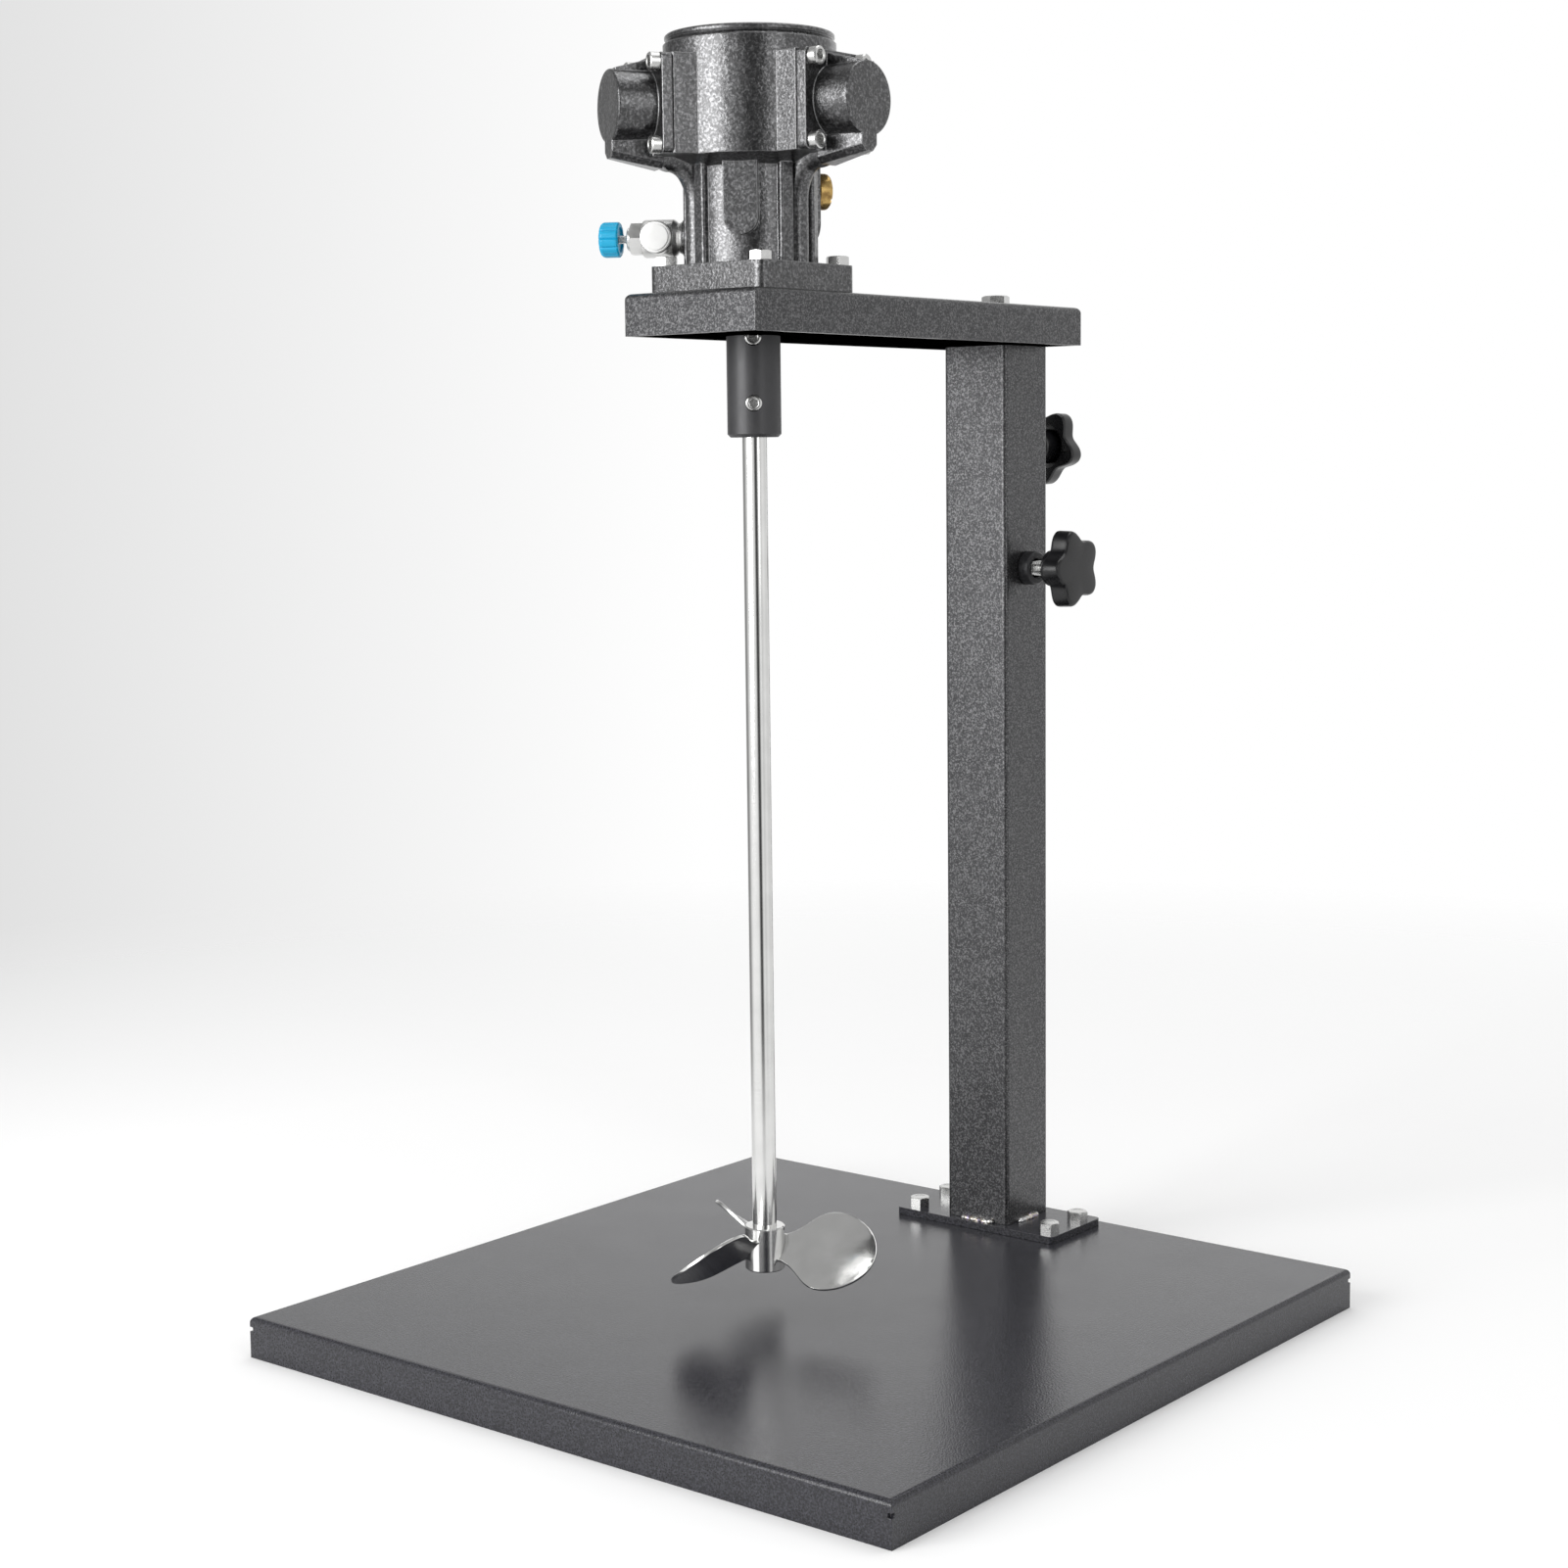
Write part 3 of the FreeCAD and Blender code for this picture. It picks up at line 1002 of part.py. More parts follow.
def blade_shape():
    """A twisted, cupped paddle: a lofted sheet trimmed to a leaf outline and to the hub."""
    reach, wide, root = size("blade_reach"), size("blade_wide"), size("blade_root")
    thick, cup = size("blade_thick"), size("blade_cup")
    hub = size("hub_round / 2")
    start, stop = hub * 0.6, reach * 1.05
    first, last = size("blade_pitch_root"), size("blade_pitch_tip")
    sections = []
    for step in range(5):
        part = step / 4
        pitch = first + (last - first) * part
        sections.append(blade_section(start + (stop - start) * part, wide * 1.3, pitch,
                                      cup * (1 + 2 * part) / 3, thick))
    sheet_solid = Part.makeLoft(sections, True, False)
    widest = reach - wide / 2
    tip = Part.Arc(Vector(widest, -wide / 2, 0), Vector(reach, 0, 0),
                   Vector(widest, wide / 2, 0)).toShape()
    root_low, root_high = Vector(0, -root / 2, 0), Vector(0, root / 2, 0)
    waist_low = Vector(hub, -root / 2, 0)
    waist_high = Vector(hub, root / 2, 0)
    shoulder = [Vector(hub + (widest - hub) * 0.35, -wide * 0.30, 0),
                Vector(hub + (widest - hub) * 0.35, wide * 0.30, 0)]
    low = Part.BSplineCurve()
    low.interpolate([waist_low, shoulder[0], Vector(widest, -wide / 2, 0)],
                    FinalTangent=Vector(1, 0, 0), InitialTangent=Vector(1, -0.4, 0))
    high = Part.BSplineCurve()
    high.interpolate([waist_high, shoulder[1], Vector(widest, wide / 2, 0)],
                     FinalTangent=Vector(1, 0, 0), InitialTangent=Vector(1, 0.4, 0))
    edges = [Part.makeLine(root_high, root_low), Part.makeLine(root_low, waist_low),
             low.toShape(), tip, high.toShape(), Part.makeLine(waist_high, root_high)]
    leaf = Part.Face(Part.Wire(Part.__sortEdges__(edges)))
    prism = leaf.extrude(Vector(0, 0, 2 * wide))
    prism.translate(Vector(0, 0, -wide))
    prism.rotate(Vector(), Vector(1, 0, 0), (first + last) / 2)
    blade = sheet_solid.common(prism)
    core = Part.makeCylinder(hub, 4 * wide, Vector(0, 0, -2 * wide))
    return blade.cut(core)


def propeller_blades():
    shape = blade_shape()
    for number in (1, 2, 3):
        turn = size("blade_turn") + 120 * (number - 1)
        blade = doc.addObject("Part::Feature", f"blade_{number}_solid")
        blade.Shape = shape
        place(keep(blade, f"blade_{number}"), y=STIRRER_Y, z="hub_low + hub_tall / 2",
              turn=Rotation(Vector(0, 0, 1), turn))


def build():
    base_plate()
    foot_plate()
    mast_tube()
    mast_welds()
    foot_fasteners()
    for clamp in (SIDE, REAR):
        clamp_boss(clamp)
        clamp_screw(clamp)
    inner_tube()
    head_plug()
    arm_bracket()
    arm_fasteners()
    motor_housing()
    motor_lid()
    strokes = {"right": "crank_throw", "front": "0 - crank_throw / 2",
               "rear": "0 - crank_throw / 2"}
    for name, turn in CYLINDER_TURNS.items():
        cylinder_cap(name, turn)
        cylinder_liner(name, turn)
        piston(name, turn, strokes[name])
    cap_screws()
    crankshaft()
    crank_pieces()
    valve_body()
    valve_pieces()
    valve_dial()
    silencer()
    coupling()
    set_screws()
    stirrer_shaft()
    propeller_blades()
    doc.recompute()


def check():
    """Stop on a failed object or a bad shape before anything is written."""
    failed = [item.Name for item in doc.Objects
              if "Invalid" in item.State or "Error" in item.State]
    bad = [item.Label for item in labels if item.Shape.isNull() or not item.Shape.isValid()]
    if failed or bad:
        raise RuntimeError(f"failed objects {failed}, bad shapes {bad}")


build()
check()
os.makedirs("parts", exist_ok=True)
for piece in labels:
    piece.Shape.exportStep(f"parts/{piece.Label}.step")
    print(piece.Label, len(piece.Shape.Solids), round(piece.Shape.Volume))
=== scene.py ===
import json
import math
import random

import bpy
import numpy as np
from bpy.props import FloatProperty, FloatVectorProperty, IntProperty, PointerProperty
from mathutils import Matrix, Vector

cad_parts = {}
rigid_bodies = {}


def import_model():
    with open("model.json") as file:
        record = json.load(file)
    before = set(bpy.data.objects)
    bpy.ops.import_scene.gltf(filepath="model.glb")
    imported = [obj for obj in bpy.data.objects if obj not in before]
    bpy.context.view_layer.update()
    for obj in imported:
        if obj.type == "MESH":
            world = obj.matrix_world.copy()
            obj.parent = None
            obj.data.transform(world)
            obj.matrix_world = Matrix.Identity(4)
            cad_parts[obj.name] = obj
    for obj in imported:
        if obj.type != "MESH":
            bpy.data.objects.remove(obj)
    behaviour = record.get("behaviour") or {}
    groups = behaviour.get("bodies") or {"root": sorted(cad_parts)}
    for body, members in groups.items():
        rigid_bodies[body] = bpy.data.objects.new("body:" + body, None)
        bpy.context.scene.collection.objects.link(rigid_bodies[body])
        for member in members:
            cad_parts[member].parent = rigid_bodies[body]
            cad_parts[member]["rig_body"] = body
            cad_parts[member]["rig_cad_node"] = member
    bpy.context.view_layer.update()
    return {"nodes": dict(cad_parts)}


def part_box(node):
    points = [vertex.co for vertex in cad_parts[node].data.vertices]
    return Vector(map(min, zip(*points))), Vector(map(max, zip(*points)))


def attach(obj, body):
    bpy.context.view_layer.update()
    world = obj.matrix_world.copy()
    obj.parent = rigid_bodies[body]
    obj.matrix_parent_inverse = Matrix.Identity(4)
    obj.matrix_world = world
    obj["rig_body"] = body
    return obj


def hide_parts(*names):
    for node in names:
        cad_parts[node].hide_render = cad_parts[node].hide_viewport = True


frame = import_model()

bl_info = {
    "name": "Bench paint mixer",
    "version": (1, 0, 0),
    "blender": (4, 5, 0),
    "location": "3D View > Sidebar > Paint mixer",
    "description": "Dresses a pneumatic paint mixer on a stand with modelled pieces and finishes",
    "category": "Add Mesh",
}

MM = 0.001
NODES = frame["nodes"]

# The photograph's camera
IMAGE_SIDE = 1601
FOCAL_PIXELS = 2758.3
SENSOR_WIDTH = 36.0
CAMERA_PLACE = Vector((0.83511, -1.05906, 0.44166))
CAMERA_YAW = math.radians(39.05)
CAMERA_PITCH = math.radians(6.78)
CAMERA_ROLL = math.radians(-0.68)

# How bright the studio is round the object, at angles from +X
STUDIO_BANDS = ((-180, 0.25), (-160, 0.4), (-141, 0.85), (-125, 1.0), (-75, 0.97), (-63, 0.8),
                (-55, 0.2), (-46, 0.02), (-36, 0.1), (-24, 0.85), (-14, 0.85), (-4, 0.72),
                (20, 0.9), (40, 0.8), (60, 0.75), (85, 0.95), (110, 1.0), (131, 1.0),
                (144, 0.78), (158, 0.55), (172, 0.27), (180, 0.25))

# The heights, in a direction's Z, between which those bands give way to the ceiling's level,
# and the least that the camera sees
BAND_ENDS = (0.38, 0.75)
CEILING_LEVEL = 0.4
BACKGROUND_LEAST = 0.74

# The floor's side, where it fades out from its middle, to the camera and in metal, and how much
# it glows to the camera alone
FLOOR_SIDE = 8
FLOOR_FADE = (0.6, 1.5)
FLOOR_FADE_IN_METAL = (0.35, 0.8)
FLOOR_LIFT = 0.06

# The lamps, with their places, widths and heights in metres and shares of the lamp power
LAMP_AIM = Vector((0, 0, 0.45))
LAMPS = (("left_softbox", (-0.56, -2.19, 0.95), 1.5, 1.6, 1.75),
         ("right_softbox", (2.2, -0.7, 1.1), 0.5, 1.6, 0.2),
         ("top_lamp", (0.1, 0.5, 2.4), 1.6, 1.6, 0.6))

# Turns about the motor's axis, from +X
CYLINDER_TURNS = {"right": 0, "front": -120, "rear": 120}
VALVE_TURN = -150
PORT_TURN = -60
SILENCER_TURN = 60
SET_SCREW_TURN = -51

# The webs under the cylinders: reach, how much comes off their fronts, half thickness, foot,
# bend, where it starts and how far it turns, the tighter bend at its end and how far that
# turns, and how far and high they go at their tops
WEB_REACH = 35 * MM
WEB_SHAVE = 2 * MM
WEB_HALF = 6 * MM
WEB_FOOT = 535.02 * MM
WEB_BEND = 16 * MM
WEB_BEND_LOW = 564.7 * MM
WEB_BEND_TURN = math.radians(35)
WEB_END_BEND = 5 * MM
WEB_END_TURN = math.radians(80)
WEB_TOP_REACH = 46.4 * MM
WEB_TOP = 584 * MM

# Screws: widths across flats, thread radii, heads, nuts, washers' outer and inner radii, and how
# far each bolt is turned
SMALL_FLAT = 10 * MM
SMALL_RADIUS = 3 * MM
NUT_TALL = 5 * MM
FLANGE_BOLT_HEAD = 4.5 * MM
ARM_BOLT_FLAT = 13 * MM
ARM_BOLT_RADIUS = 4 * MM
WASHER_THICK = 1.6 * MM
SMALL_WASHER = (6.25 * MM, 3.2 * MM)
ARM_WASHER = (8.5 * MM, 4.2 * MM)
FOOT_BOLT_TURNS = (37, 44, 40, 48)
FLANGE_BOLT_TURNS = (36, 45, 40, 48)
CAP_SCREW_HEAD = 4.25 * MM
CAP_SCREW_TALL = 5 * MM
CAP_SCREW_KEY = 4 * MM
CAP_SCREW_RADIUS = 2.5 * MM
CAP_SCREW_LONG = 14 * MM

# The weld runs at the mast's foot, with their turns, lengths and shifts in millimetres
WELD_RUNS = ((-90, 17, 0.5), (0, 14, -1), (90, 16, 0), (180, 16, 0))
WELD_RADIUS = 2.6 * MM

# The stirrer's shaft, the needle's stem and how far a bore is wider all round
SHAFT_RADIUS = 6 * MM
STEM_RADIUS = 2 * MM
BORE_GAP = 0.05 * MM

UP = Vector((0, 0, 1))
SMOOTH_ANGLE = math.radians(32)


def heading(turn):
    """The level direction at an angle in degrees from +X."""
    return Vector((math.cos(math.radians(turn)), math.sin(math.radians(turn)), 0))


def corners(node):
    """The corners of a CAD node's mesh, as an array."""
    return np.array([vertex.co for vertex in NODES[node].data.vertices])


def middle(node):
    """The middle of a node's box."""
    low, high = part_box(node)
    return (low + high) / 2


MAST = middle("mast_tube")
MOTOR = middle("stirrer_shaft")


# Settings

class MixerPaintSettings(bpy.types.PropertyGroup):
    """Painted sheet and casting."""
    sheet_colour: FloatVectorProperty(
        name="Sheet paint", description="Colour of the paint on base, mast and arm",
        subtype="COLOR", size=3, min=0, max=1, default=(0.054, 0.054, 0.057))
    tray_colour: FloatVectorProperty(
        name="Tray paint", description="Colour of the smoother paint on the tray's top",
        subtype="COLOR", size=3, min=0, max=1, default=(0.024, 0.024, 0.029))
    casting_colour: FloatVectorProperty(
        name="Casting paint", description="Colour of the hammered paint on the motor",
        subtype="COLOR", size=3, min=0, max=1, default=(0.088, 0.088, 0.09))
    fleck_colour: FloatVectorProperty(
        name="Fleck", description="Colour of the light flecks in the paint",
        subtype="COLOR", size=3, min=0, max=1, default=(0.16, 0.16, 0.164))
    # A painted highlight: this lighter colour is mixed into the paint along its edges, where they
    # would catch the lamps
    edge_highlight_colour: FloatVectorProperty(
        name="Edges", description="Colour where the paint is thin over an edge",
        subtype="COLOR", size=3, min=0, max=1, default=(0.36, 0.36, 0.365))
    sheet_grain: FloatProperty(
        name="Sheet grain", description="Width of one fleck in the sheet's paint",
        unit="LENGTH", min=0.0002, max=0.01, default=0.0009)
    casting_grain: FloatProperty(
        name="Casting grain", description="Width of one hammered dimple on the motor",
        unit="LENGTH", min=0.0002, max=0.01, default=0.0013)
    edge_round: FloatProperty(
        name="Edge rounding", description="Radius of painted edges on sheet metal",
        unit="LENGTH", min=0.0001, max=0.003, default=0.0005)
    cast_round: FloatProperty(
        name="Casting rounding", description="Radius of the casting's outer edges",
        unit="LENGTH", min=0.0001, max=0.003, default=0.0007)


class MixerScrewSettings(bpy.types.PropertyGroup):
    """Bolts, nuts, screws and clamp knobs."""
    small_pitch: FloatProperty(
        name="Small thread pitch", description="Pitch of the foot and flange bolts",
        unit="LENGTH", min=0.0003, max=0.003, default=0.001)
    clamp_pitch: FloatProperty(
        name="Clamp thread pitch", description="Pitch of the clamp studs",
        unit="LENGTH", min=0.0003, max=0.003, default=0.00125)
    knob_lobes: IntProperty(
        name="Knob lobes", description="Lobes round each clamp knob", min=3, max=9, default=5)
    knob_colour: FloatVectorProperty(
        name="Knob colour", description="Colour of the moulded clamp knobs",
        subtype="COLOR", size=3, min=0, max=1, default=(0.006, 0.006, 0.007))
    zinc_colour: FloatVectorProperty(
        name="Zinc", description="Colour of the plated bolts and nuts",
        subtype="COLOR", size=3, min=0, max=1, default=(0.68, 0.68, 0.67))


class MixerAirSettings(bpy.types.PropertyGroup):
    """Needle valve and silencer."""
    dial_colour: FloatVectorProperty(
        name="Dial colour", description="Colour of the valve's fluted dial",
        subtype="COLOR", size=3, min=0, max=1, default=(0.003, 0.38, 0.64))
    dial_flutes: IntProperty(
        name="Dial flutes", description="Flutes round the valve's dial",
        min=6, max=30, default=12)
    nickel_colour: FloatVectorProperty(
        name="Nickel", description="Colour of the plated valve",
        subtype="COLOR", size=3, min=0, max=1, default=(0.78, 0.78, 0.77))
    brass_colour: FloatVectorProperty(
        name="Brass", description="Colour of the silencer",
        subtype="COLOR", size=3, min=0, max=1, default=(0.56, 0.38, 0.14))


class MixerStirrerSettings(bpy.types.PropertyGroup):
    """Coupling, shaft and propeller."""
    steel_colour: FloatVectorProperty(
        name="Polished steel", description="Colour of the shaft and blades",
        subtype="COLOR", size=3, min=0, max=1, default=(0.82, 0.82, 0.81))
    coupling_colour: FloatVectorProperty(
        name="Coupling", description="Colour of the coupling's black finish",
        subtype="COLOR", size=3, min=0, max=1, default=(0.055, 0.055, 0.058))
    blade_edge: FloatProperty(
        name="Blade edge", description="Rounding of the blades' edges",
        unit="LENGTH", min=0.0001, max=0.001, default=0.0005)


class MixerStudioSettings(bpy.types.PropertyGroup):
    """Floor, lamps and surroundings."""
    floor_colour: FloatVectorProperty(
        name="Floor", description="Colour of the floor",
        subtype="COLOR", size=3, min=0, max=1, default=(0.93, 0.93, 0.93))
    room_level: FloatProperty(
        name="Room light", description="Level light from all round",
        min=0, max=2, default=0.6)
    lamp_level: FloatProperty(
        name="Lamp power", description="Power of the key lamp", unit="POWER",
        min=0, max=500, default=24)


SETTINGS = {
    "mixer_paint": MixerPaintSettings,
    "mixer_screws": MixerScrewSettings,
    "mixer_air": MixerAirSettings,
    "mixer_stirrer": MixerStirrerSettings,
    "mixer_studio": MixerStudioSettings,
}


# Modelling steps

def clear_selection():
    """Leave any edit, with nothing selected."""
    if bpy.context.mode != "OBJECT":
        bpy.ops.object.mode_set(mode="OBJECT")
    bpy.ops.object.select_all(action="DESELECT")


def take(*pieces):
    """Select only these pieces, the first one active."""
    clear_selection()
    for piece in pieces:
        piece.select_set(True)
    bpy.context.view_layer.objects.active = pieces[0]


def edit(piece, kind="FACE"):
    """Open a piece for editing with all of it selected."""
    take(piece)
    bpy.ops.object.mode_set(mode="EDIT")
    bpy.ops.mesh.select_mode(type=kind)
    bpy.ops.mesh.select_all(action="SELECT")


def choose(piece, members):
    """Open a piece for editing with only these vertices selected."""
    edit(piece, "VERT")
    bpy.ops.mesh.select_all(action="DESELECT")
    bpy.ops.object.mode_set(mode="OBJECT")
    for index in members:
        piece.data.vertices[index].select = True
    bpy.ops.object.mode_set(mode="EDIT")


def settle(piece, tidy=True):
    """Close the edit, merge doubles, turn faces outwards and put the place into the mesh."""
    take(piece)
    if tidy:
        bpy.ops.object.mode_set(mode="EDIT")
        bpy.ops.mesh.select_all(action="SELECT")
        bpy.ops.mesh.remove_doubles(threshold=1e-6)
        bpy.ops.mesh.normals_make_consistent(inside=False)
    clear_selection()
    take(piece)
    bpy.ops.object.transform_apply(location=True, rotation=True, scale=True)
    return piece


def outline(name, radius, height, sides, swell=None):
    """A circle of vertices at a height, swelled or pinched by a function of their angle."""
    clear_selection()
    bpy.ops.mesh.primitive_circle_add(vertices=sides, radius=radius, fill_type="NOTHING",
                                      location=(0, 0, height))
    piece = bpy.context.object
    piece.name = name
    if swell:
        groups = {}
        for index, vertex in enumerate(piece.data.vertices):
            factor = round(swell(math.atan2(vertex.co.y, vertex.co.x)), 6)
            groups.setdefault(factor, set()).add(index)
        for factor, members in groups.items():
            choose(piece, members)
            bpy.ops.transform.resize(value=(factor, factor, 1), center_override=(0, 0, height))
    return piece


def turned(name, rings, sides=48, swell=None, hollow=False, drift=None):
    """A piece made along Z from one ring, extruded to each next radius and height in turn."""
    radius, height = rings[0]
    piece = outline(name, radius, height, sides, swell)
    edit(piece, "EDGE")
    for count, (reach, level) in enumerate(rings[1:], 1):
        aside = drift(count) if drift else (0, 0)
        bpy.ops.mesh.extrude_edges_move(
            TRANSFORM_OT_translate={"value": (*aside, level - height)})
        if abs(reach - radius) > 1e-9:
            ratio = reach / radius
            bpy.ops.transform.resize(value=(ratio, ratio, 1), center_override=(0, 0, level))
        radius, height = reach, level
    if not hollow:
        bpy.ops.mesh.select_all(action="SELECT")
        bpy.ops.mesh.fill_holes(sides=0)
    return settle(piece)


def rod(name, radius, low, high, sides):
    """A plain rod along Z between two heights."""
    return turned(name, [(radius, low), (radius, high)], sides=sides)


def bar_rings(outer, low, high, edge):
    """Rings of a cylinder whose ends are chamfered."""
    return [(outer - edge, low), (outer, low + edge), (outer, high - edge), (outer - edge, high)]


def lay(piece, place=(0, 0, 0), direction=UP, turn=0):
    """Stand a piece that was made along Z at a place, along a direction, turned about it."""
    aim = Vector(direction).to_track_quat("Z", "Y").to_matrix().to_4x4()
    spin = Matrix.Rotation(math.radians(turn), 4, "Z")
    piece.matrix_world = Matrix.Translation(Vector(place)) @ aim @ spin @ piece.matrix_world
    return settle(piece, tidy=False)


def twin(piece):
    """A copy of a piece with a mesh of its own."""
    take(piece)
    bpy.ops.object.duplicate(linked=False)
    return bpy.context.object


def joined(pieces, name):
    """Some pieces as one, under a new name."""
    take(*pieces)
    if len(pieces) > 1:
        bpy.ops.object.join()
    pieces[0].name = name
    return pieces[0]


def with_modifier(piece, kind, **values):
    """Add a modifier to a piece and apply it."""
    take(piece)
    bpy.ops.object.modifier_add(type=kind)
    modifier = piece.modifiers[-1]
    for key, value in values.items():
        setattr(modifier, key, value)
    bpy.ops.object.modifier_apply(modifier=modifier.name)
    return piece


def cut(piece, tool, operation="DIFFERENCE"):
    """Cut, keep or add one piece with another, which is used up."""
    with_modifier(piece, "BOOLEAN", operation=operation, object=tool, solver="EXACT")
    bpy.data.objects.remove(tool)
    return settle(piece)


def rounded(piece, width, segments=2, angle=30):
    """Round the edges that are sharper than an angle in degrees."""
    return with_modifier(piece, "BEVEL", width=width, segments=segments, limit_method="ANGLE",
                         angle_limit=math.radians(angle), use_clamp_overlap=True,
                         miter_outer="MITER_ARC")


def merged_copy(node, name, flatten=1.0):
    """A copy of a CAD node with its loose triangles merged and its flat faces made whole."""
    take(NODES[node])
    bpy.ops.object.duplicate(linked=False)
    piece = bpy.context.object
    piece.name = name
    piece.parent = None
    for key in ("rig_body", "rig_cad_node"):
        del piece[key]
    bpy.ops.mesh.customdata_custom_splitnormals_clear()
    edit(piece)
    bpy.ops.mesh.remove_doubles(threshold=2e-6)
    if flatten:
        bpy.ops.mesh.dissolve_limited(angle_limit=math.radians(flatten))
    clear_selection()
    return piece


def solids(node):
    """The separate solids of a CAD node, as arrays of points."""
    piece = merged_copy(node, "measured")
    edit(piece)
    bpy.ops.mesh.separate(type="LOOSE")
    clear_selection()
    parts = [item for item in bpy.data.objects if item.name.startswith("measured")]
    points = []
    for part in parts:
        points.append(np.array([vertex.co for vertex in part.data.vertices]))
        bpy.data.objects.remove(part)
    return points


def far_end(points, direction):
    """The place on a turned solid's axis where it ends in a direction."""
    along = Vector(direction).normalized()
    side = along.orthogonal().normalized()
    across = along.cross(side)
    place = along * float((points @ np.array(along)).max())
    for axis in (side, across):
        reach = points @ np.array(axis)
        place += axis * float((reach.min() + reach.max()) / 2)
    return place


def bar_along_web(name, sides, deep, wide, centre):
    """A bar that runs up the front of a web, round its bend and out of its face."""
    clear_selection()
    bpy.ops.mesh.primitive_circle_add(vertices=sides, radius=1, fill_type="NOTHING",
                                      location=(centre, 0, WEB_FOOT),
                                      rotation=(0, 0, math.pi / sides))
    bar = bpy.context.object
    bar.name = name
    edit(bar, "EDGE")
    bpy.ops.transform.resize(value=(deep, wide, 1), center_override=(centre, 0, WEB_FOOT))
    bpy.ops.mesh.extrude_edges_move(
        TRANSFORM_OT_translate={"value": (0, 0, WEB_BEND_LOW - WEB_FOOT)})
    back = Vector((-math.cos(WEB_BEND_TURN), 0, math.sin(WEB_BEND_TURN)))
    bend = Vector((WEB_REACH + WEB_BEND, 0, WEB_BEND_LOW))
    bpy.ops.mesh.spin(steps=8, angle=WEB_BEND_TURN, center=bend, axis=(0, -1, 0))
    tight = bend + back * (WEB_BEND - WEB_END_BEND)
    bpy.ops.mesh.spin(steps=14, angle=WEB_END_TURN, center=tight, axis=(0, -1, 0))
    bpy.ops.mesh.select_all(action="SELECT")
    bpy.ops.mesh.fill_holes(sides=0)
    return settle(bar)


def round_webs(casting):
    """Shave the front of each web under the cylinders to a half round."""
    face = WEB_REACH - WEB_SHAVE
    back, front = face - WEB_HALF, WEB_REACH + MM
    corner = math.sqrt(2)
    shaver = bar_along_web("shaver", 4, (front - back) / 2 * corner,
                           (WEB_HALF + 0.03 * MM) * corner, (front + back) / 2)
    cut(shaver, bar_along_web("core", 40, WEB_HALF, WEB_HALF, back))
    clear_selection()
    bpy.ops.mesh.primitive_cube_add(size=1, location=(
        (WEB_TOP_REACH + back) / 2, 0, (WEB_FOOT + WEB_TOP) / 2))
    field = bpy.context.object
    field.dimensions = (WEB_TOP_REACH - back, 4 * WEB_HALF, WEB_TOP - WEB_FOOT)
    cut(shaver, settle(field), "INTERSECT")
    for turn in CYLINDER_TURNS.values():
        # An upright piece is laid half a turn round.
        cut(casting, lay(twin(shaver), (MOTOR.x, MOTOR.y, 0), turn=turn + 180))
    bpy.data.objects.remove(shaver)
    return casting


def dress(piece, material, *nodes, body=None):
    """Finish a piece: shading, material, the body that it rides on and the nodes it replaces."""
    piece.data.materials.clear()
    piece.data.materials.append(material)
    take(piece)
    bpy.ops.object.shade_smooth_by_angle(angle=SMOOTH_ANGLE)
    with_modifier(piece, "WEIGHTED_NORMAL", keep_sharp=True, weight=50)
    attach(piece, body or NODES[nodes[0]]["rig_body"])
    if nodes:
        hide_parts(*nodes)


def refine(node, name, maker, width, angle=50, flatten=1.0):
    """Dress a copy of a CAD node whose edges are rounded."""
    piece = rounded(merged_copy(node, name, flatten), width, angle=angle)
    dress(piece, finish(maker), node)


# Small parts that are used more than once

def hexagon(name, flat, low, high, both=False):
    """A hexagon bar whose corners are chamfered at the top, or at both ends."""
    corner = flat / math.sqrt(3)
    drop = (corner - 0.48 * flat) * math.tan(math.radians(30))
    bar = rod(name, corner, low, high, sides=6)
    rings = [(corner * 1.01, high - drop), (0.48 * flat, high)]
    if both:
        rings = [(0.48 * flat, low), (corner * 1.01, low + drop)] + rings
    else:
        rings = [(corner * 1.01, low)] + rings
    return cut(bar, turned("chamfer", rings), "INTERSECT")


def threaded(name, radius, pitch, low, high, sides=20, per_turn=6):
    """A threaded bar: rings that circle the axis once for each pitch, chamfered at its end."""
    count = int(round((high - low) / pitch * per_turn))
    step = (high - low) / count
    wander = 0.28 * pitch
    rings = [(radius - wander, low + step * number) for number in range(count + 1)]
    rings[0] = (radius - 3 * wander, low)
    rings[-1] = (radius - 3 * wander, high)

    def drift(number):
        before, after = (2 * math.pi * item / per_turn for item in (number - 1, number))
        return (wander * (math.cos(after) - math.cos(before)),
                wander * (math.sin(after) - math.sin(before)))
    return turned(name, rings, sides=sides, drift=drift)


def hex_bolt(name, flat, head, radius, pitch, length):
    """A hexagon bolt along Z, its head above the origin and its threaded shank below."""
    bolt = hexagon(name, flat, 0, head)
    dish = turned("dish", [(0.3 * flat, head - 0.25 * MM), (0.38 * flat, head + 0.05 * MM)])
    cut(bolt, dish)
    shank = threaded("shank", radius, pitch, -length, 0.3 * MM)
    return joined([bolt, shank], name)


def hex_nut(name, flat, radius, height):
    """A hexagon nut that stands on the origin."""
    nut = hexagon(name, flat, 0, height, both=True)
    bore = turned("bore", [(radius * 1.12, -0.1 * MM), (radius, 0.6 * MM),
                           (radius, height - 0.6 * MM), (radius * 1.12, height + 0.1 * MM)],
                  sides=24)
    return cut(nut, bore)


def washer(name, outer, inner, thick):
    """A washer that lies on the origin."""
    edge = 0.2 * MM
    return turned(name, [(inner, 0), (outer - edge, 0), (outer, edge), (outer, thick - edge),
                         (outer - edge, thick), (inner, thick), (inner, 0)], hollow=True)


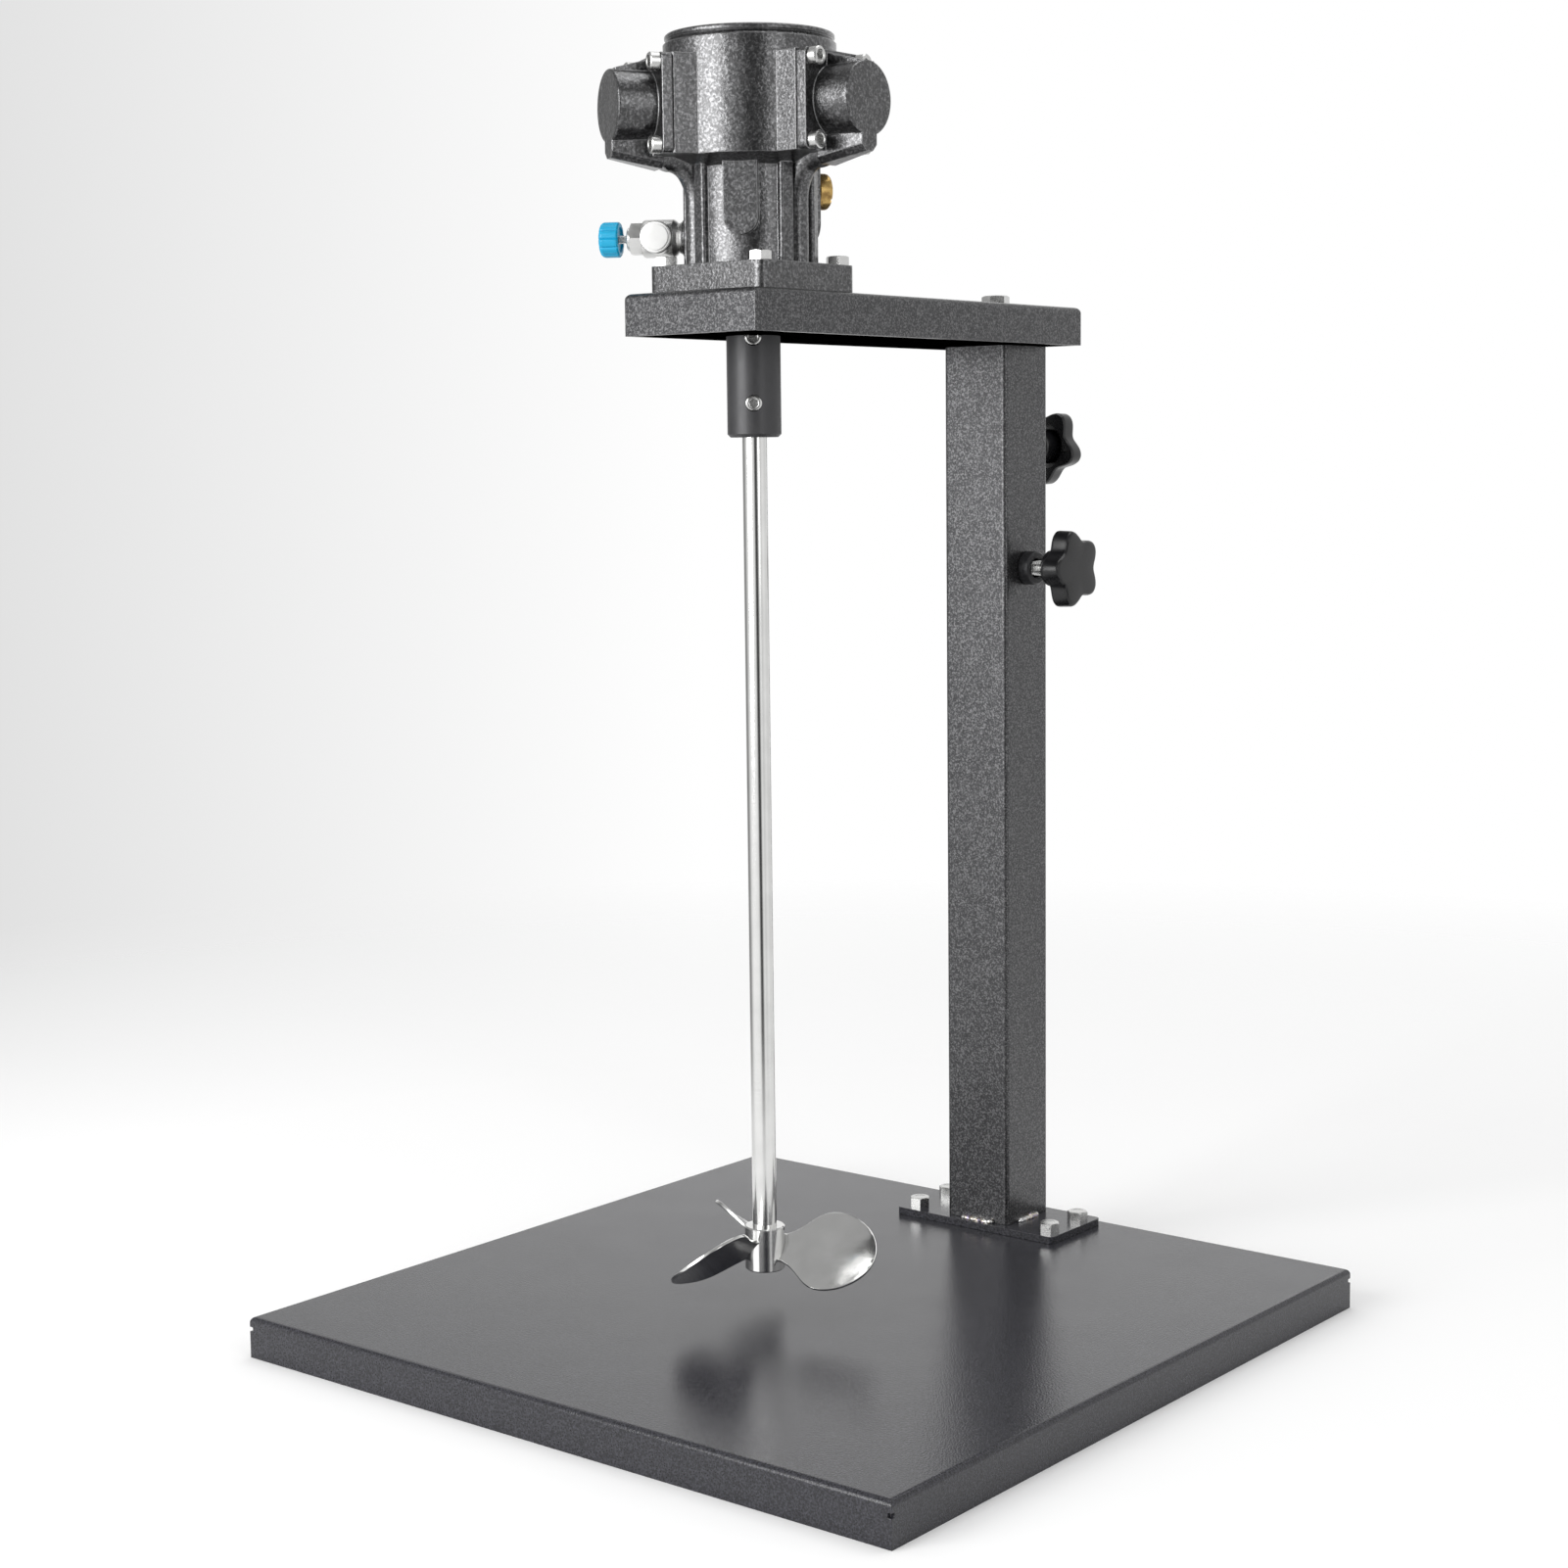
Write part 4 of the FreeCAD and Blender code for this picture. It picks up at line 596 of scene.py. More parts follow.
def socket_screw(name, head, tall, key, radius, length):
    """A socket head screw along Z, its head above the origin and its shank below."""
    edge = 0.5 * MM
    screw = turned(name, [(head - 0.2 * MM, 0), (head, 0.2 * MM), (head, tall - edge),
                          (head - edge, tall)], sides=40)
    lead = turned("lead", [(key * 0.56, tall - 0.35 * MM), (key * 0.72, tall + 0.05 * MM)])
    cut(screw, lead)
    cut(screw, rod("socket", key / math.sqrt(3), tall * 0.45, tall + 0.1 * MM, sides=6))
    shank = turned("shank", [(radius - 0.4 * MM, -length), (radius, -length + 0.4 * MM),
                             (radius, 0.3 * MM)], sides=20)
    return joined([screw, shank], name)


def fit_bolts(context, node, seat, turns):
    """Model a node's small bolts, their heads on a level, each turned by its own angle."""
    pitch = context.scene.mixer_screws.small_pitch
    bolts = []
    for points, turn in zip(solids(node), turns):
        top, end = far_end(points, UP), far_end(points, -UP)
        bolt = hex_bolt("bolt", SMALL_FLAT, top.z - seat, SMALL_RADIUS, pitch, seat - end.z)
        bolts.append(lay(bolt, (top.x, top.y, seat), turn=turn))
    dress(joined(bolts, node + "_plated"), finish(zinc_plate), node)


def fit_nuts(node, turn):
    """Model a node's small nuts, each turned on from the one before."""
    nuts = []
    for number, points in enumerate(solids(node)):
        nut = hex_nut("nut", SMALL_FLAT, SMALL_RADIUS, NUT_TALL)
        nuts.append(lay(nut, far_end(points, -UP), turn=turn * number))
    dress(joined(nuts, node + "_plated"), finish(zinc_plate), node)


def weld_run(name, points, radius, seed):
    """A weld run: overlapping blobs along a line of points, melted together."""
    draw = random.Random(seed)
    blobs = []
    for point in points:
        size = radius * draw.uniform(0.85, 1.15)
        clear_selection()
        bpy.ops.mesh.primitive_ico_sphere_add(subdivisions=2, radius=size, location=point)
        bpy.ops.transform.resize(value=(1, 1, 0.75))
        blobs.append(settle(bpy.context.object))
    run = joined(blobs, name)
    with_modifier(run, "REMESH", mode="VOXEL", voxel_size=radius / 4.5)
    with_modifier(run, "SMOOTH", factor=0.5, iterations=2)
    return run


# Finishes

def new_material(name, colour, metallic=0.0, roughness=0.4):
    material = bpy.data.materials.new(name)
    material.use_nodes = True
    tree = material.node_tree
    shader = tree.nodes["Principled BSDF"]
    shader.inputs["Base Color"].default_value = (*colour, 1)
    shader.inputs["Metallic"].default_value = metallic
    shader.inputs["Roughness"].default_value = roughness
    place = tree.nodes.new("ShaderNodeTexCoord")
    return material, tree, shader, place.outputs["Object"]


def shade(colour, factor):
    """A colour made lighter or darker."""
    return tuple(factor * item for item in colour)


def noise(tree, where, grain, detail=2.0, stretch=(1, 1, 1), distortion=0.0):
    """Noise whose features are about one grain wide, in metres, stretched along an axis."""
    mapping = tree.nodes.new("ShaderNodeMapping")
    mapping.inputs["Scale"].default_value = [1 / item for item in stretch]
    tree.links.new(where, mapping.inputs["Vector"])
    texture = tree.nodes.new("ShaderNodeTexNoise")
    texture.inputs["Scale"].default_value = 1 / grain
    texture.inputs["Detail"].default_value = detail
    texture.inputs["Distortion"].default_value = distortion
    tree.links.new(mapping.outputs["Vector"], texture.inputs["Vector"])
    return texture.outputs["Fac"]


def ramp(tree, value, stops):
    """A colour ramp through (position, colour) stops."""
    node = tree.nodes.new("ShaderNodeValToRGB")
    elements = node.color_ramp.elements
    elements[0].position, elements[-1].position = stops[0][0], stops[-1][0]
    elements[0].color, elements[-1].color = (*stops[0][1], 1), (*stops[-1][1], 1)
    for position, colour in stops[1:-1]:
        elements.new(position).color = (*colour, 1)
    tree.links.new(value, node.inputs["Fac"])
    return node.outputs["Color"]


def spread(tree, value, low, high, start=0.3, end=0.7):
    """A value mapped from the middle of its range to between two levels."""
    node = tree.nodes.new("ShaderNodeMapRange")
    for key, number in (("From Min", start), ("From Max", end), ("To Min", low),
                        ("To Max", high)):
        node.inputs[key].default_value = number
    tree.links.new(value, node.inputs["Value"])
    return node.outputs["Result"]


def combine(tree, operation, first, second):
    """A value put together with another value or a number."""
    node = tree.nodes.new("ShaderNodeMath")
    node.operation = operation
    tree.links.new(first, node.inputs[0])
    if isinstance(second, float):
        node.inputs[1].default_value = second
    else:
        tree.links.new(second, node.inputs[1])
    return node.outputs[0]


def largest(tree, first, *others):
    """The largest of some values."""
    for other in others:
        first = combine(tree, "MAXIMUM", first, other)
    return first


def blend(tree, share, linked, plain):
    """A linked colour that gives way to a plain one by a share."""
    node = tree.nodes.new("ShaderNodeMix")
    node.data_type = "RGBA"
    tree.links.new(share, node.inputs["Factor"])
    tree.links.new(linked, node.inputs["A"])
    node.inputs["B"].default_value = (*plain, 1)
    return node.outputs["Result"]


def colour_by(tree, shader, value, *stops):
    """Let a value choose a shader's colour among (position, colour) stops."""
    tree.links.new(ramp(tree, value, stops), shader.inputs["Base Color"])


def roughen_by(tree, shader, value, low, high):
    """Let a value move a shader's roughness between two levels."""
    tree.links.new(spread(tree, value, low, high), shader.inputs["Roughness"])


def softened(tree, radius):
    """The normal where edges are softened by a radius."""
    edges = tree.nodes.new("ShaderNodeBevel")
    edges.samples = 6
    edges.inputs["Radius"].default_value = radius
    return edges.outputs["Normal"]


def bump(tree, shader, *layers, soft=0):
    """Bump from (height, depth in metres) layers, one over the other, on softened edges."""
    normal = softened(tree, soft) if soft else None
    for height, depth in layers:
        node = tree.nodes.new("ShaderNodeBump")
        node.inputs["Strength"].default_value = 1.0
        node.inputs["Distance"].default_value = depth
        tree.links.new(height, node.inputs["Height"])
        if normal:
            tree.links.new(normal, node.inputs["Normal"])
        normal = node.outputs["Normal"]
    for socket in ("Normal", "Coat Normal"):
        tree.links.new(normal, shader.inputs[socket])


# The mask of the painted edge highlight in flecked paint
def near_edges(tree, soft):
    """How near a place is to an edge: 0 on a flat, 1 where the softened edge turns most."""
    shape = tree.nodes.new("ShaderNodeNewGeometry")
    likeness = tree.nodes.new("ShaderNodeVectorMath")
    likeness.operation = "DOT_PRODUCT"
    tree.links.new(softened(tree, soft), likeness.inputs[0])
    tree.links.new(shape.outputs["Normal"], likeness.inputs[1])
    return spread(tree, likeness.outputs["Value"], 0.0, 1.0, start=0.99, end=0.8)


def clouded(name, colour, dull, cloud, gloss, skin, metallic=0.0, stops=(0.3, 0.7)):
    """A finish whose colour and roughness wander together, over a fine skin.

    The cloud is a grain, gloss a range of roughness and skin a grain and a depth.
    """
    material, tree, shader, where = new_material(name, colour, metallic=metallic)
    drift = noise(tree, where, cloud)
    colour_by(tree, shader, drift, (stops[0], dull), (stops[1], tuple(colour)))
    roughen_by(tree, shader, drift, *gloss)
    bump(tree, shader, (noise(tree, where, skin[0]), skin[1]))
    return material


def flecked_paint(name, colour, fleck, grain, depth, rough, metal, soft, light=0.62):
    """Stoved paint with metal flakes: small light flecks and a dimpled skin, with a painted
    highlight along its edges.
    """
    material, tree, shader, where = new_material(name, colour, metallic=metal)
    shader.inputs["Coat Weight"].default_value = 0.45
    shader.inputs["Coat Roughness"].default_value = 0.14
    grainy = noise(tree, where, grain, detail=3, distortion=0.6)
    stops = [(0.36, shade(colour, 0.7)), (0.5, colour), (light, fleck)]
    # Painted highlight: near edges the flecked colour gives way to the lighter edge highlight
    # colour
    highlit_colour = blend(tree, near_edges(tree, soft), ramp(tree, grainy, stops),
                 bpy.context.scene.mixer_paint.edge_highlight_colour)
    tree.links.new(highlit_colour, shader.inputs["Base Color"])
    roughen_by(tree, shader, noise(tree, where, grain * 28), rough * 0.9, rough * 1.12)
    bump(tree, shader, (grainy, depth), (noise(tree, where, grain * 4.5), depth * 1.6), soft=soft)
    return material


def sheet_paint():
    paint = bpy.context.scene.mixer_paint
    return flecked_paint("flecked_sheet_paint", tuple(paint.sheet_colour),
                         tuple(paint.fleck_colour), paint.sheet_grain, 0.00005, 0.35, 0.88,
                         paint.edge_round * 1.2)


def tray_paint():
    """The tray's smooth, glossier coat: faint orange peel over a dark colour."""
    paint = bpy.context.scene.mixer_paint
    colour = tuple(paint.tray_colour)
    material, tree, shader, where = new_material("tray_paint", colour)
    grainy = noise(tree, where, paint.sheet_grain)
    colour_by(tree, shader, grainy, (0.4, shade(colour, 0.6)), (0.7, shade(colour, 2.2)))
    roughen_by(tree, shader, noise(tree, where, 30 * MM), 0.15, 0.2)
    bump(tree, shader, (noise(tree, where, 1.0 * MM), 0.00012), soft=paint.edge_round)
    return material


def hammered_paint():
    paint = bpy.context.scene.mixer_paint
    return flecked_paint("hammered_casting_paint", tuple(paint.casting_colour),
                         shade(paint.fleck_colour, 1.4), paint.casting_grain,
                         0.00014, 0.3, 0.95, paint.cast_round * 1.3, light=0.7)


def zinc_plate():
    """Bright zinc with faint clouding."""
    colour = bpy.context.scene.mixer_screws.zinc_colour
    return clouded("zinc_plate", colour, shade(colour, 0.92), cloud=2.2 * MM, gloss=(0.22, 0.32),
                   skin=(0.5 * MM, 0.004 * MM), metallic=1.0, stops=(0.35, 0.65))


def polished_steel():
    """Stainless steel, polished, with fine marks across its length."""
    colour = bpy.context.scene.mixer_stirrer.steel_colour
    material, tree, shader, where = new_material("polished_steel", colour, metallic=1.0)
    marks = noise(tree, where, 0.12 * MM, detail=1, stretch=(40, 40, 1))
    roughen_by(tree, shader, marks, 0.1, 0.17)
    smear = noise(tree, where, 14 * MM)
    colour_by(tree, shader, smear, (0.3, shade(colour, 0.9)), (0.7, tuple(colour)))
    bump(tree, shader, (marks, 0.0000016))
    return material


def ground_steel():
    """Bare steel with long grinding lines."""
    material, tree, shader, where = new_material("ground_steel", (0.22, 0.22, 0.22), 1.0)
    lines = noise(tree, where, 0.3 * MM, detail=2, stretch=(1, 1, 12))
    roughen_by(tree, shader, lines, 0.38, 0.52)
    colour_by(tree, shader, lines, (0.3, (0.18, 0.18, 0.18)), (0.7, (0.26, 0.26, 0.26)))
    bump(tree, shader, (lines, 0.000006))
    return material


def weld_metal():
    """Bare weld with straw and violet heat tints."""
    material, tree, shader, where = new_material("weld_metal", (0.6, 0.6, 0.6), 1.0, 0.22)
    tint = noise(tree, where, 3.5 * MM, detail=2)
    colour_by(tree, shader, tint, (0.3, (0.62, 0.62, 0.63)), (0.46, (0.74, 0.73, 0.71)),
              (0.56, (0.5, 0.44, 0.33)), (0.62, (0.26, 0.22, 0.36)), (0.7, (0.62, 0.62, 0.64)))
    roughen_by(tree, shader, noise(tree, where, 0.9 * MM), 0.14, 0.4)
    bump(tree, shader, (noise(tree, where, 0.8 * MM), 0.00008))
    return material


def moulded_plastic(name, colour, rough):
    """Moulded plastic: a fine skin and slightly uneven gloss."""
    return clouded(name, colour, shade(colour, 0.88), cloud=9 * MM,
                   gloss=(rough * 0.85, rough * 1.15), skin=(0.45 * MM, 0.012 * MM))


def knob_plastic():
    return moulded_plastic("knob_plastic", bpy.context.scene.mixer_screws.knob_colour, 0.3)


def dial_plastic():
    return moulded_plastic("dial_plastic", bpy.context.scene.mixer_air.dial_colour, 0.36)


def plug_plastic():
    return moulded_plastic("plug_plastic", (0.86, 0.86, 0.85), 0.4)


def seal_rubber():
    return moulded_plastic("seal_rubber", (0.02, 0.02, 0.02), 0.6)


def black_finish():
    """Dull black oxide on steel."""
    return clouded("black_finish", (0.035, 0.035, 0.037), (0.016, 0.016, 0.018), cloud=1.6 * MM,
                   gloss=(0.32, 0.5), skin=(0.4 * MM, 0.02 * MM), metallic=0.35)


def coupling_finish():
    """Satin dark finish over fine turning marks."""
    colour = bpy.context.scene.mixer_stirrer.coupling_colour
    material, tree, shader, where = new_material("coupling_finish", colour, metallic=0.3)
    marks = noise(tree, where, 0.18 * MM, detail=1, stretch=(60, 60, 1))
    cloud = noise(tree, where, 6 * MM)
    roughen_by(tree, shader, cloud, 0.36, 0.46)
    colour_by(tree, shader, cloud, (0.3, shade(colour, 0.86)), (0.7, tuple(colour)))
    bump(tree, shader, (marks, 0.000005))
    return material


def nickel_plate():
    colour = bpy.context.scene.mixer_air.nickel_colour
    return clouded("nickel_plate", colour, shade(colour, 0.94), cloud=3 * MM, gloss=(0.3, 0.38),
                   skin=(0.5 * MM, 0.004 * MM), metallic=1.0, stops=(0.35, 0.65))


def turned_brass():
    """Brass, browner in random patches."""
    colour = bpy.context.scene.mixer_air.brass_colour
    brown = tuple(item * factor for item, factor in zip(colour, (0.55, 0.5, 0.5)))
    return clouded("turned_brass", colour, brown, cloud=3 * MM, gloss=(0.34, 0.2),
                   skin=(0.3 * MM, 0.01 * MM), metallic=1.0, stops=(0.32, 0.6))


FINISHES = {}


def finish(maker):
    """The material from a maker function, made once."""
    if maker not in FINISHES:
        FINISHES[maker] = maker()
    return FINISHES[maker]


def coat(maker, *nodes):
    """Give carried-over CAD nodes a finish."""
    for node in nodes:
        piece = NODES[node]
        if not piece.material_slots:
            piece.data.materials.append(None)
        for slot in piece.material_slots:
            slot.link = "OBJECT"
            slot.material = finish(maker)


# Operators, one for each piece or group of like pieces

class PieceOperator(bpy.types.Operator):
    bl_options = {"REGISTER", "UNDO"}

    def execute(self, context):
        self.make(context)
        return {"FINISHED"}


class MIXER_OT_studio(PieceOperator):
    """Add the camera, the floor, the lamps and the white surroundings"""
    bl_idname = "paint_mixer.studio"
    bl_label = "Studio"

    def make(self, context):
        self.camera(context)
        self.surroundings(context)
        self.floor(context)
        self.lamps(context)

    def camera(self, context):
        yaw, pitch, roll = CAMERA_YAW, CAMERA_PITCH, CAMERA_ROLL
        ahead = Vector((-math.sin(yaw) * math.cos(pitch), math.cos(yaw) * math.cos(pitch),
                        -math.sin(pitch)))
        right = Vector((math.cos(yaw), math.sin(yaw), 0))
        above = right.cross(ahead)
        across = right * math.cos(roll) + above * math.sin(roll)
        over = above * math.cos(roll) - right * math.sin(roll)
        clear_selection()
        bpy.ops.object.camera_add(location=CAMERA_PLACE)
        camera = context.object
        camera.name = "photograph_camera"
        camera.matrix_world = Matrix.Translation(CAMERA_PLACE) @ Matrix(
            (across, over, -ahead)).transposed().to_4x4()
        camera.data.sensor_width = SENSOR_WIDTH
        camera.data.lens = SENSOR_WIDTH * FOCAL_PIXELS / IMAGE_SIDE
        camera.data.clip_end = 50
        context.scene.camera = camera

    def surroundings(self, context):
        """Pale where the camera looks, with the studio's dark gaps in metal, level elsewhere."""
        world = bpy.data.worlds.new("studio_world")
        context.scene.world = world
        world.use_nodes = True
        tree = world.node_tree
        plain = tree.nodes["Background"]
        plain.inputs["Color"].default_value = (1, 1, 1, 1)
        plain.inputs["Strength"].default_value = context.scene.mixer_studio.room_level
        seen = tree.nodes.new("ShaderNodeBackground")
        ray = tree.nodes.new("ShaderNodeLightPath")
        shown = largest(tree, ray.outputs["Is Camera Ray"], ray.outputs["Is Glossy Ray"],
                        ray.outputs["Is Transmission Ray"])
        where = tree.nodes.new("ShaderNodeTexCoord")
        parts = tree.nodes.new("ShaderNodeSeparateXYZ")
        tree.links.new(where.outputs["Generated"], parts.inputs[0])
        turn = combine(tree, "ARCTAN2", parts.outputs["Y"], parts.outputs["X"])
        share = spread(tree, turn, 0.0, 1.0, start=-math.pi, end=math.pi)
        low = ramp(tree, share, [((angle + 180) / 360, (level, level, level))
                                 for angle, level in STUDIO_BANDS])
        height = spread(tree, parts.outputs["Z"], 0.0, 1.0, *BAND_ENDS)
        room = blend(tree, height, low, (CEILING_LEVEL, CEILING_LEVEL, CEILING_LEVEL))
        pale = combine(tree, "MULTIPLY", ray.outputs["Is Camera Ray"], BACKGROUND_LEAST)
        tree.links.new(largest(tree, room, pale), seen.inputs["Color"])
        both = tree.nodes.new("ShaderNodeMixShader")
        tree.links.new(shown, both.inputs["Fac"])
        tree.links.new(plain.outputs[0], both.inputs[1])
        tree.links.new(seen.outputs[0], both.inputs[2])
        tree.links.new(both.outputs[0], tree.nodes["World Output"].inputs["Surface"])

    def floor(self, context):
        """A pale floor that fades out into the surroundings."""
        clear_selection()
        bpy.ops.mesh.primitive_plane_add(size=FLOOR_SIDE, location=(0, 0, 0))
        floor = context.object
        floor.name = "studio_floor"
        colour = tuple(context.scene.mixer_studio.floor_colour)
        material, tree, shader, where = new_material("pale_floor", colour, roughness=0.9)
        shader.inputs["Specular IOR Level"].default_value = 0.0
        distance = tree.nodes.new("ShaderNodeVectorMath")
        distance.operation = "LENGTH"
        tree.links.new(where, distance.inputs[0])
        tint = noise(tree, where, 0.4, detail=1)
        colour_by(tree, shader, tint, (0.3, colour), (0.7, shade(colour, 0.99)))
        clear = tree.nodes.new("ShaderNodeBsdfTransparent")
        mix = tree.nodes.new("ShaderNodeMixShader")
        far = spread(tree, distance.outputs["Value"], 0.0, 1.0, *FLOOR_FADE)
        near = spread(tree, distance.outputs["Value"], 0.0, 1.0, *FLOOR_FADE_IN_METAL)
        ray = tree.nodes.new("ShaderNodeLightPath")
        mirrored = combine(tree, "MULTIPLY", near, ray.outputs["Is Glossy Ray"])
        tree.links.new(largest(tree, far, mirrored), mix.inputs["Fac"])
        shader.inputs["Emission Color"].default_value = (1, 1, 1, 1)
        glow = combine(tree, "MULTIPLY", ray.outputs["Is Camera Ray"], FLOOR_LIFT)
        tree.links.new(glow, shader.inputs["Emission Strength"])
        tree.links.new(shader.outputs[0], mix.inputs[1])
        tree.links.new(clear.outputs[0], mix.inputs[2])
        tree.links.new(mix.outputs[0], tree.nodes["Material Output"].inputs["Surface"])
        floor.data.materials.append(material)

    def lamps(self, context):
        power = context.scene.mixer_studio.lamp_level
        for name, place, wide, tall, share in LAMPS:
            clear_selection()
            bpy.ops.object.light_add(type="AREA", location=place)
            lamp = context.object
            lamp.name = name
            lamp.data.shape = "RECTANGLE"
            lamp.data.size, lamp.data.size_y = wide, tall
            lamp.data.energy = power * share
            toward = LAMP_AIM - Vector(place)
            lamp.matrix_world = (Matrix.Translation(Vector(place))
                                 @ toward.to_track_quat("-Z", "Y").to_matrix().to_4x4())


class MIXER_OT_base(PieceOperator):
    """Dress the folded base tray"""
    bl_idname = "paint_mixer.base"
    bl_label = "Base tray"

    def make(self, context):
        edge = context.scene.mixer_paint.edge_round
        refine("base_plate", "base_tray", tray_paint, edge * 0.6)


class MIXER_OT_mast(PieceOperator):
    """Dress the mast, its foot plate, the welds and the inner tube"""
    bl_idname = "paint_mixer.mast"
    bl_label = "Mast"

    def make(self, context):
        edge = context.scene.mixer_paint.edge_round
        for node, maker in (("mast_tube", sheet_paint), ("foot_plate", tray_paint),
                            ("inner_tube", ground_steel), ("head_plug", ground_steel)):
            refine(node, node + "_dressed", maker, edge)
        self.welds(context)

    def welds(self, context):
        """Four short runs in the corner between mast and foot plate."""
        low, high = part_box("mast_tube")
        half, level = (high.x - low.x) / 2, low.z
        runs = []
        for number, (turn, length, shift) in enumerate(WELD_RUNS):
            out, along = heading(turn), heading(turn + 90)
            centre = Vector((MAST.x, MAST.y, level)) + out * (half + 0.6 * MM) + UP * 0.5 * MM
            points = [centre + along * (shift + length * (step / 9 - 0.5)) * MM
                      + UP * 0.35 * MM * math.sin(step * 2.3) for step in range(10)]
            runs.append(weld_run("weld", points, WELD_RADIUS, seed=number + 3))
        dress(joined(runs, "mast_weld_runs"), finish(weld_metal), "mast_welds")


class MIXER_OT_foot_bolts(PieceOperator):
    """Model the foot plate's bolts, washers and nuts"""
    bl_idname = "paint_mixer.foot_bolts"
    bl_label = "Foot bolts"

    def make(self, context):
        fit_bolts(context, "foot_bolts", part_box("foot_plate")[1].z, FOOT_BOLT_TURNS)
        washers = [lay(washer("washer", *SMALL_WASHER, WASHER_THICK), far_end(points, -UP))
                   for points in solids("foot_washers")]
        dress(joined(washers, "foot_washers_plated"), finish(zinc_plate), "foot_washers")
        fit_nuts("foot_nuts", 17)


class MIXER_OT_clamps(PieceOperator):
    """Model the two clamp screws with their bosses and five-lobed knobs"""
    bl_idname = "paint_mixer.clamps"
    bl_label = "Clamps"

    def make(self, context):
        for name, out in (("side", heading(0)), ("rear", heading(90))):
            for part, make in (("clamp_boss", self.boss), ("stud", self.stud),
                               ("knob", self.knob)):
                points = corners(f"{name}_{part}")
                make(context, name, far_end(points, -out), far_end(points, out), out)

    def boss(self, context, name, foot, face, out):
        long = (face - foot).dot(out)
        boss = turned("boss", [
            (5.2 * MM, 0), (8.4 * MM, 0), (8.4 * MM, 0.1 * MM), (9 * MM, 0.7 * MM),
            (9 * MM, long - 0.9 * MM), (8.1 * MM, long), (6.2 * MM, long),
            (5.2 * MM, long - 0.9 * MM), (5.2 * MM, 0)], hollow=True)
        lay(boss, foot, out)
        dress(boss, finish(black_finish), name + "_clamp_boss")

    def stud(self, context, name, foot, end, out):
        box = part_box(name + "_stud")
        radius = (box[1].z - box[0].z) / 2
        stud = threaded("stud", radius, context.scene.mixer_screws.clamp_pitch, 0,
                        (end - foot).dot(out), sides=28, per_turn=8)
        dress(lay(stud, foot, out), finish(zinc_plate), name + "_stud")

    def knob(self, context, name, foot, face, out):
        """A lobed disc with softened edges and a hollow underside, on a round hub."""
        count = context.scene.mixer_screws.knob_lobes
        mid, wave = 18.3 * MM, 2.7 * MM
        low, top = 8 * MM, (face - foot).dot(out)

        def swell(angle):
            return 1 + wave / mid * math.cos(count * angle)
        rings = [(mid - 1.6 * MM, low), (mid - 0.7 * MM, low + 0.2 * MM),
                 (mid - 0.15 * MM, low + 0.9 * MM), (mid, low + 2 * MM),
                 (mid - 0.2 * MM, top - 2.2 * MM), (mid - 0.55 * MM, top - 1.2 * MM),
                 (mid - 1.3 * MM, top - 0.5 * MM), (mid - 2.4 * MM, top - 0.25 * MM),
                 (mid - 8 * MM, top - 0.05 * MM), (mid - 14 * MM, top)]
        knob = turned("knob", rings, sides=count * 20, swell=swell)
        hollow = turned("hollow", [(13 * MM, low - 0.1 * MM), (12.6 * MM, top - 4.5 * MM),
                                   (12.2 * MM, top - 4 * MM)], sides=64)
        cut(knob, hollow)
        hub = turned("hub", [(9.5 * MM, low + 7.2 * MM), (9.5 * MM, 0.8 * MM), (8.9 * MM, 0),
                             (4.1 * MM, 0), (4.1 * MM, low + 6.8 * MM)], sides=64)
        cut(knob, hub, "UNION")
        cut(knob, rod("seat", 7.56 * MM, -MM, 5 * MM, sides=6))
        turn = {"side": 180, "rear": -90}[name]
        lay(knob, foot, out, turn=turn)
        dress(knob, finish(knob_plastic), name + "_knob")


class MIXER_OT_arm(PieceOperator):
    """Dress the folded arm and model its bolt and washer"""
    bl_idname = "paint_mixer.arm"
    bl_label = "Arm"

    def make(self, context):
        edge = context.scene.mixer_paint.edge_round
        refine("arm_bracket", "arm_dressed", sheet_paint, edge * 0.7)
        points = solids("arm_bolt")[0]
        top, end = far_end(points, UP), far_end(points, -UP)
        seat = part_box("arm_washer")[1].z
        bolt = hex_bolt("arm_bolt_plated", ARM_BOLT_FLAT, top.z - seat, ARM_BOLT_RADIUS,
                        context.scene.mixer_screws.clamp_pitch, seat - end.z)
        dress(lay(bolt, (top.x, top.y, seat), turn=12), finish(zinc_plate), "arm_bolt")
        low = far_end(solids("arm_washer")[0], -UP)
        ring = lay(washer("arm_washer_plated", *ARM_WASHER, WASHER_THICK), low)
        dress(ring, finish(zinc_plate), "arm_washer")


class MIXER_OT_motor(PieceOperator):
    """Dress the motor's casting, lid and cylinder caps"""
    bl_idname = "paint_mixer.motor"
    bl_label = "Motor casting"

    def make(self, context):
        edge = context.scene.mixer_paint.cast_round
        casting = round_webs(merged_copy("motor_housing", "motor_casting"))
        rounded(casting, edge, 3, angle=28)
        dress(casting, finish(hammered_paint), "motor_housing")
        refine("motor_lid", "motor_lid_dressed", hammered_paint, edge * 0.4, angle=40)
        for name in CYLINDER_TURNS:
            refine("cap_" + name, f"cap_{name}_dressed", hammered_paint, edge * 0.8, angle=35)


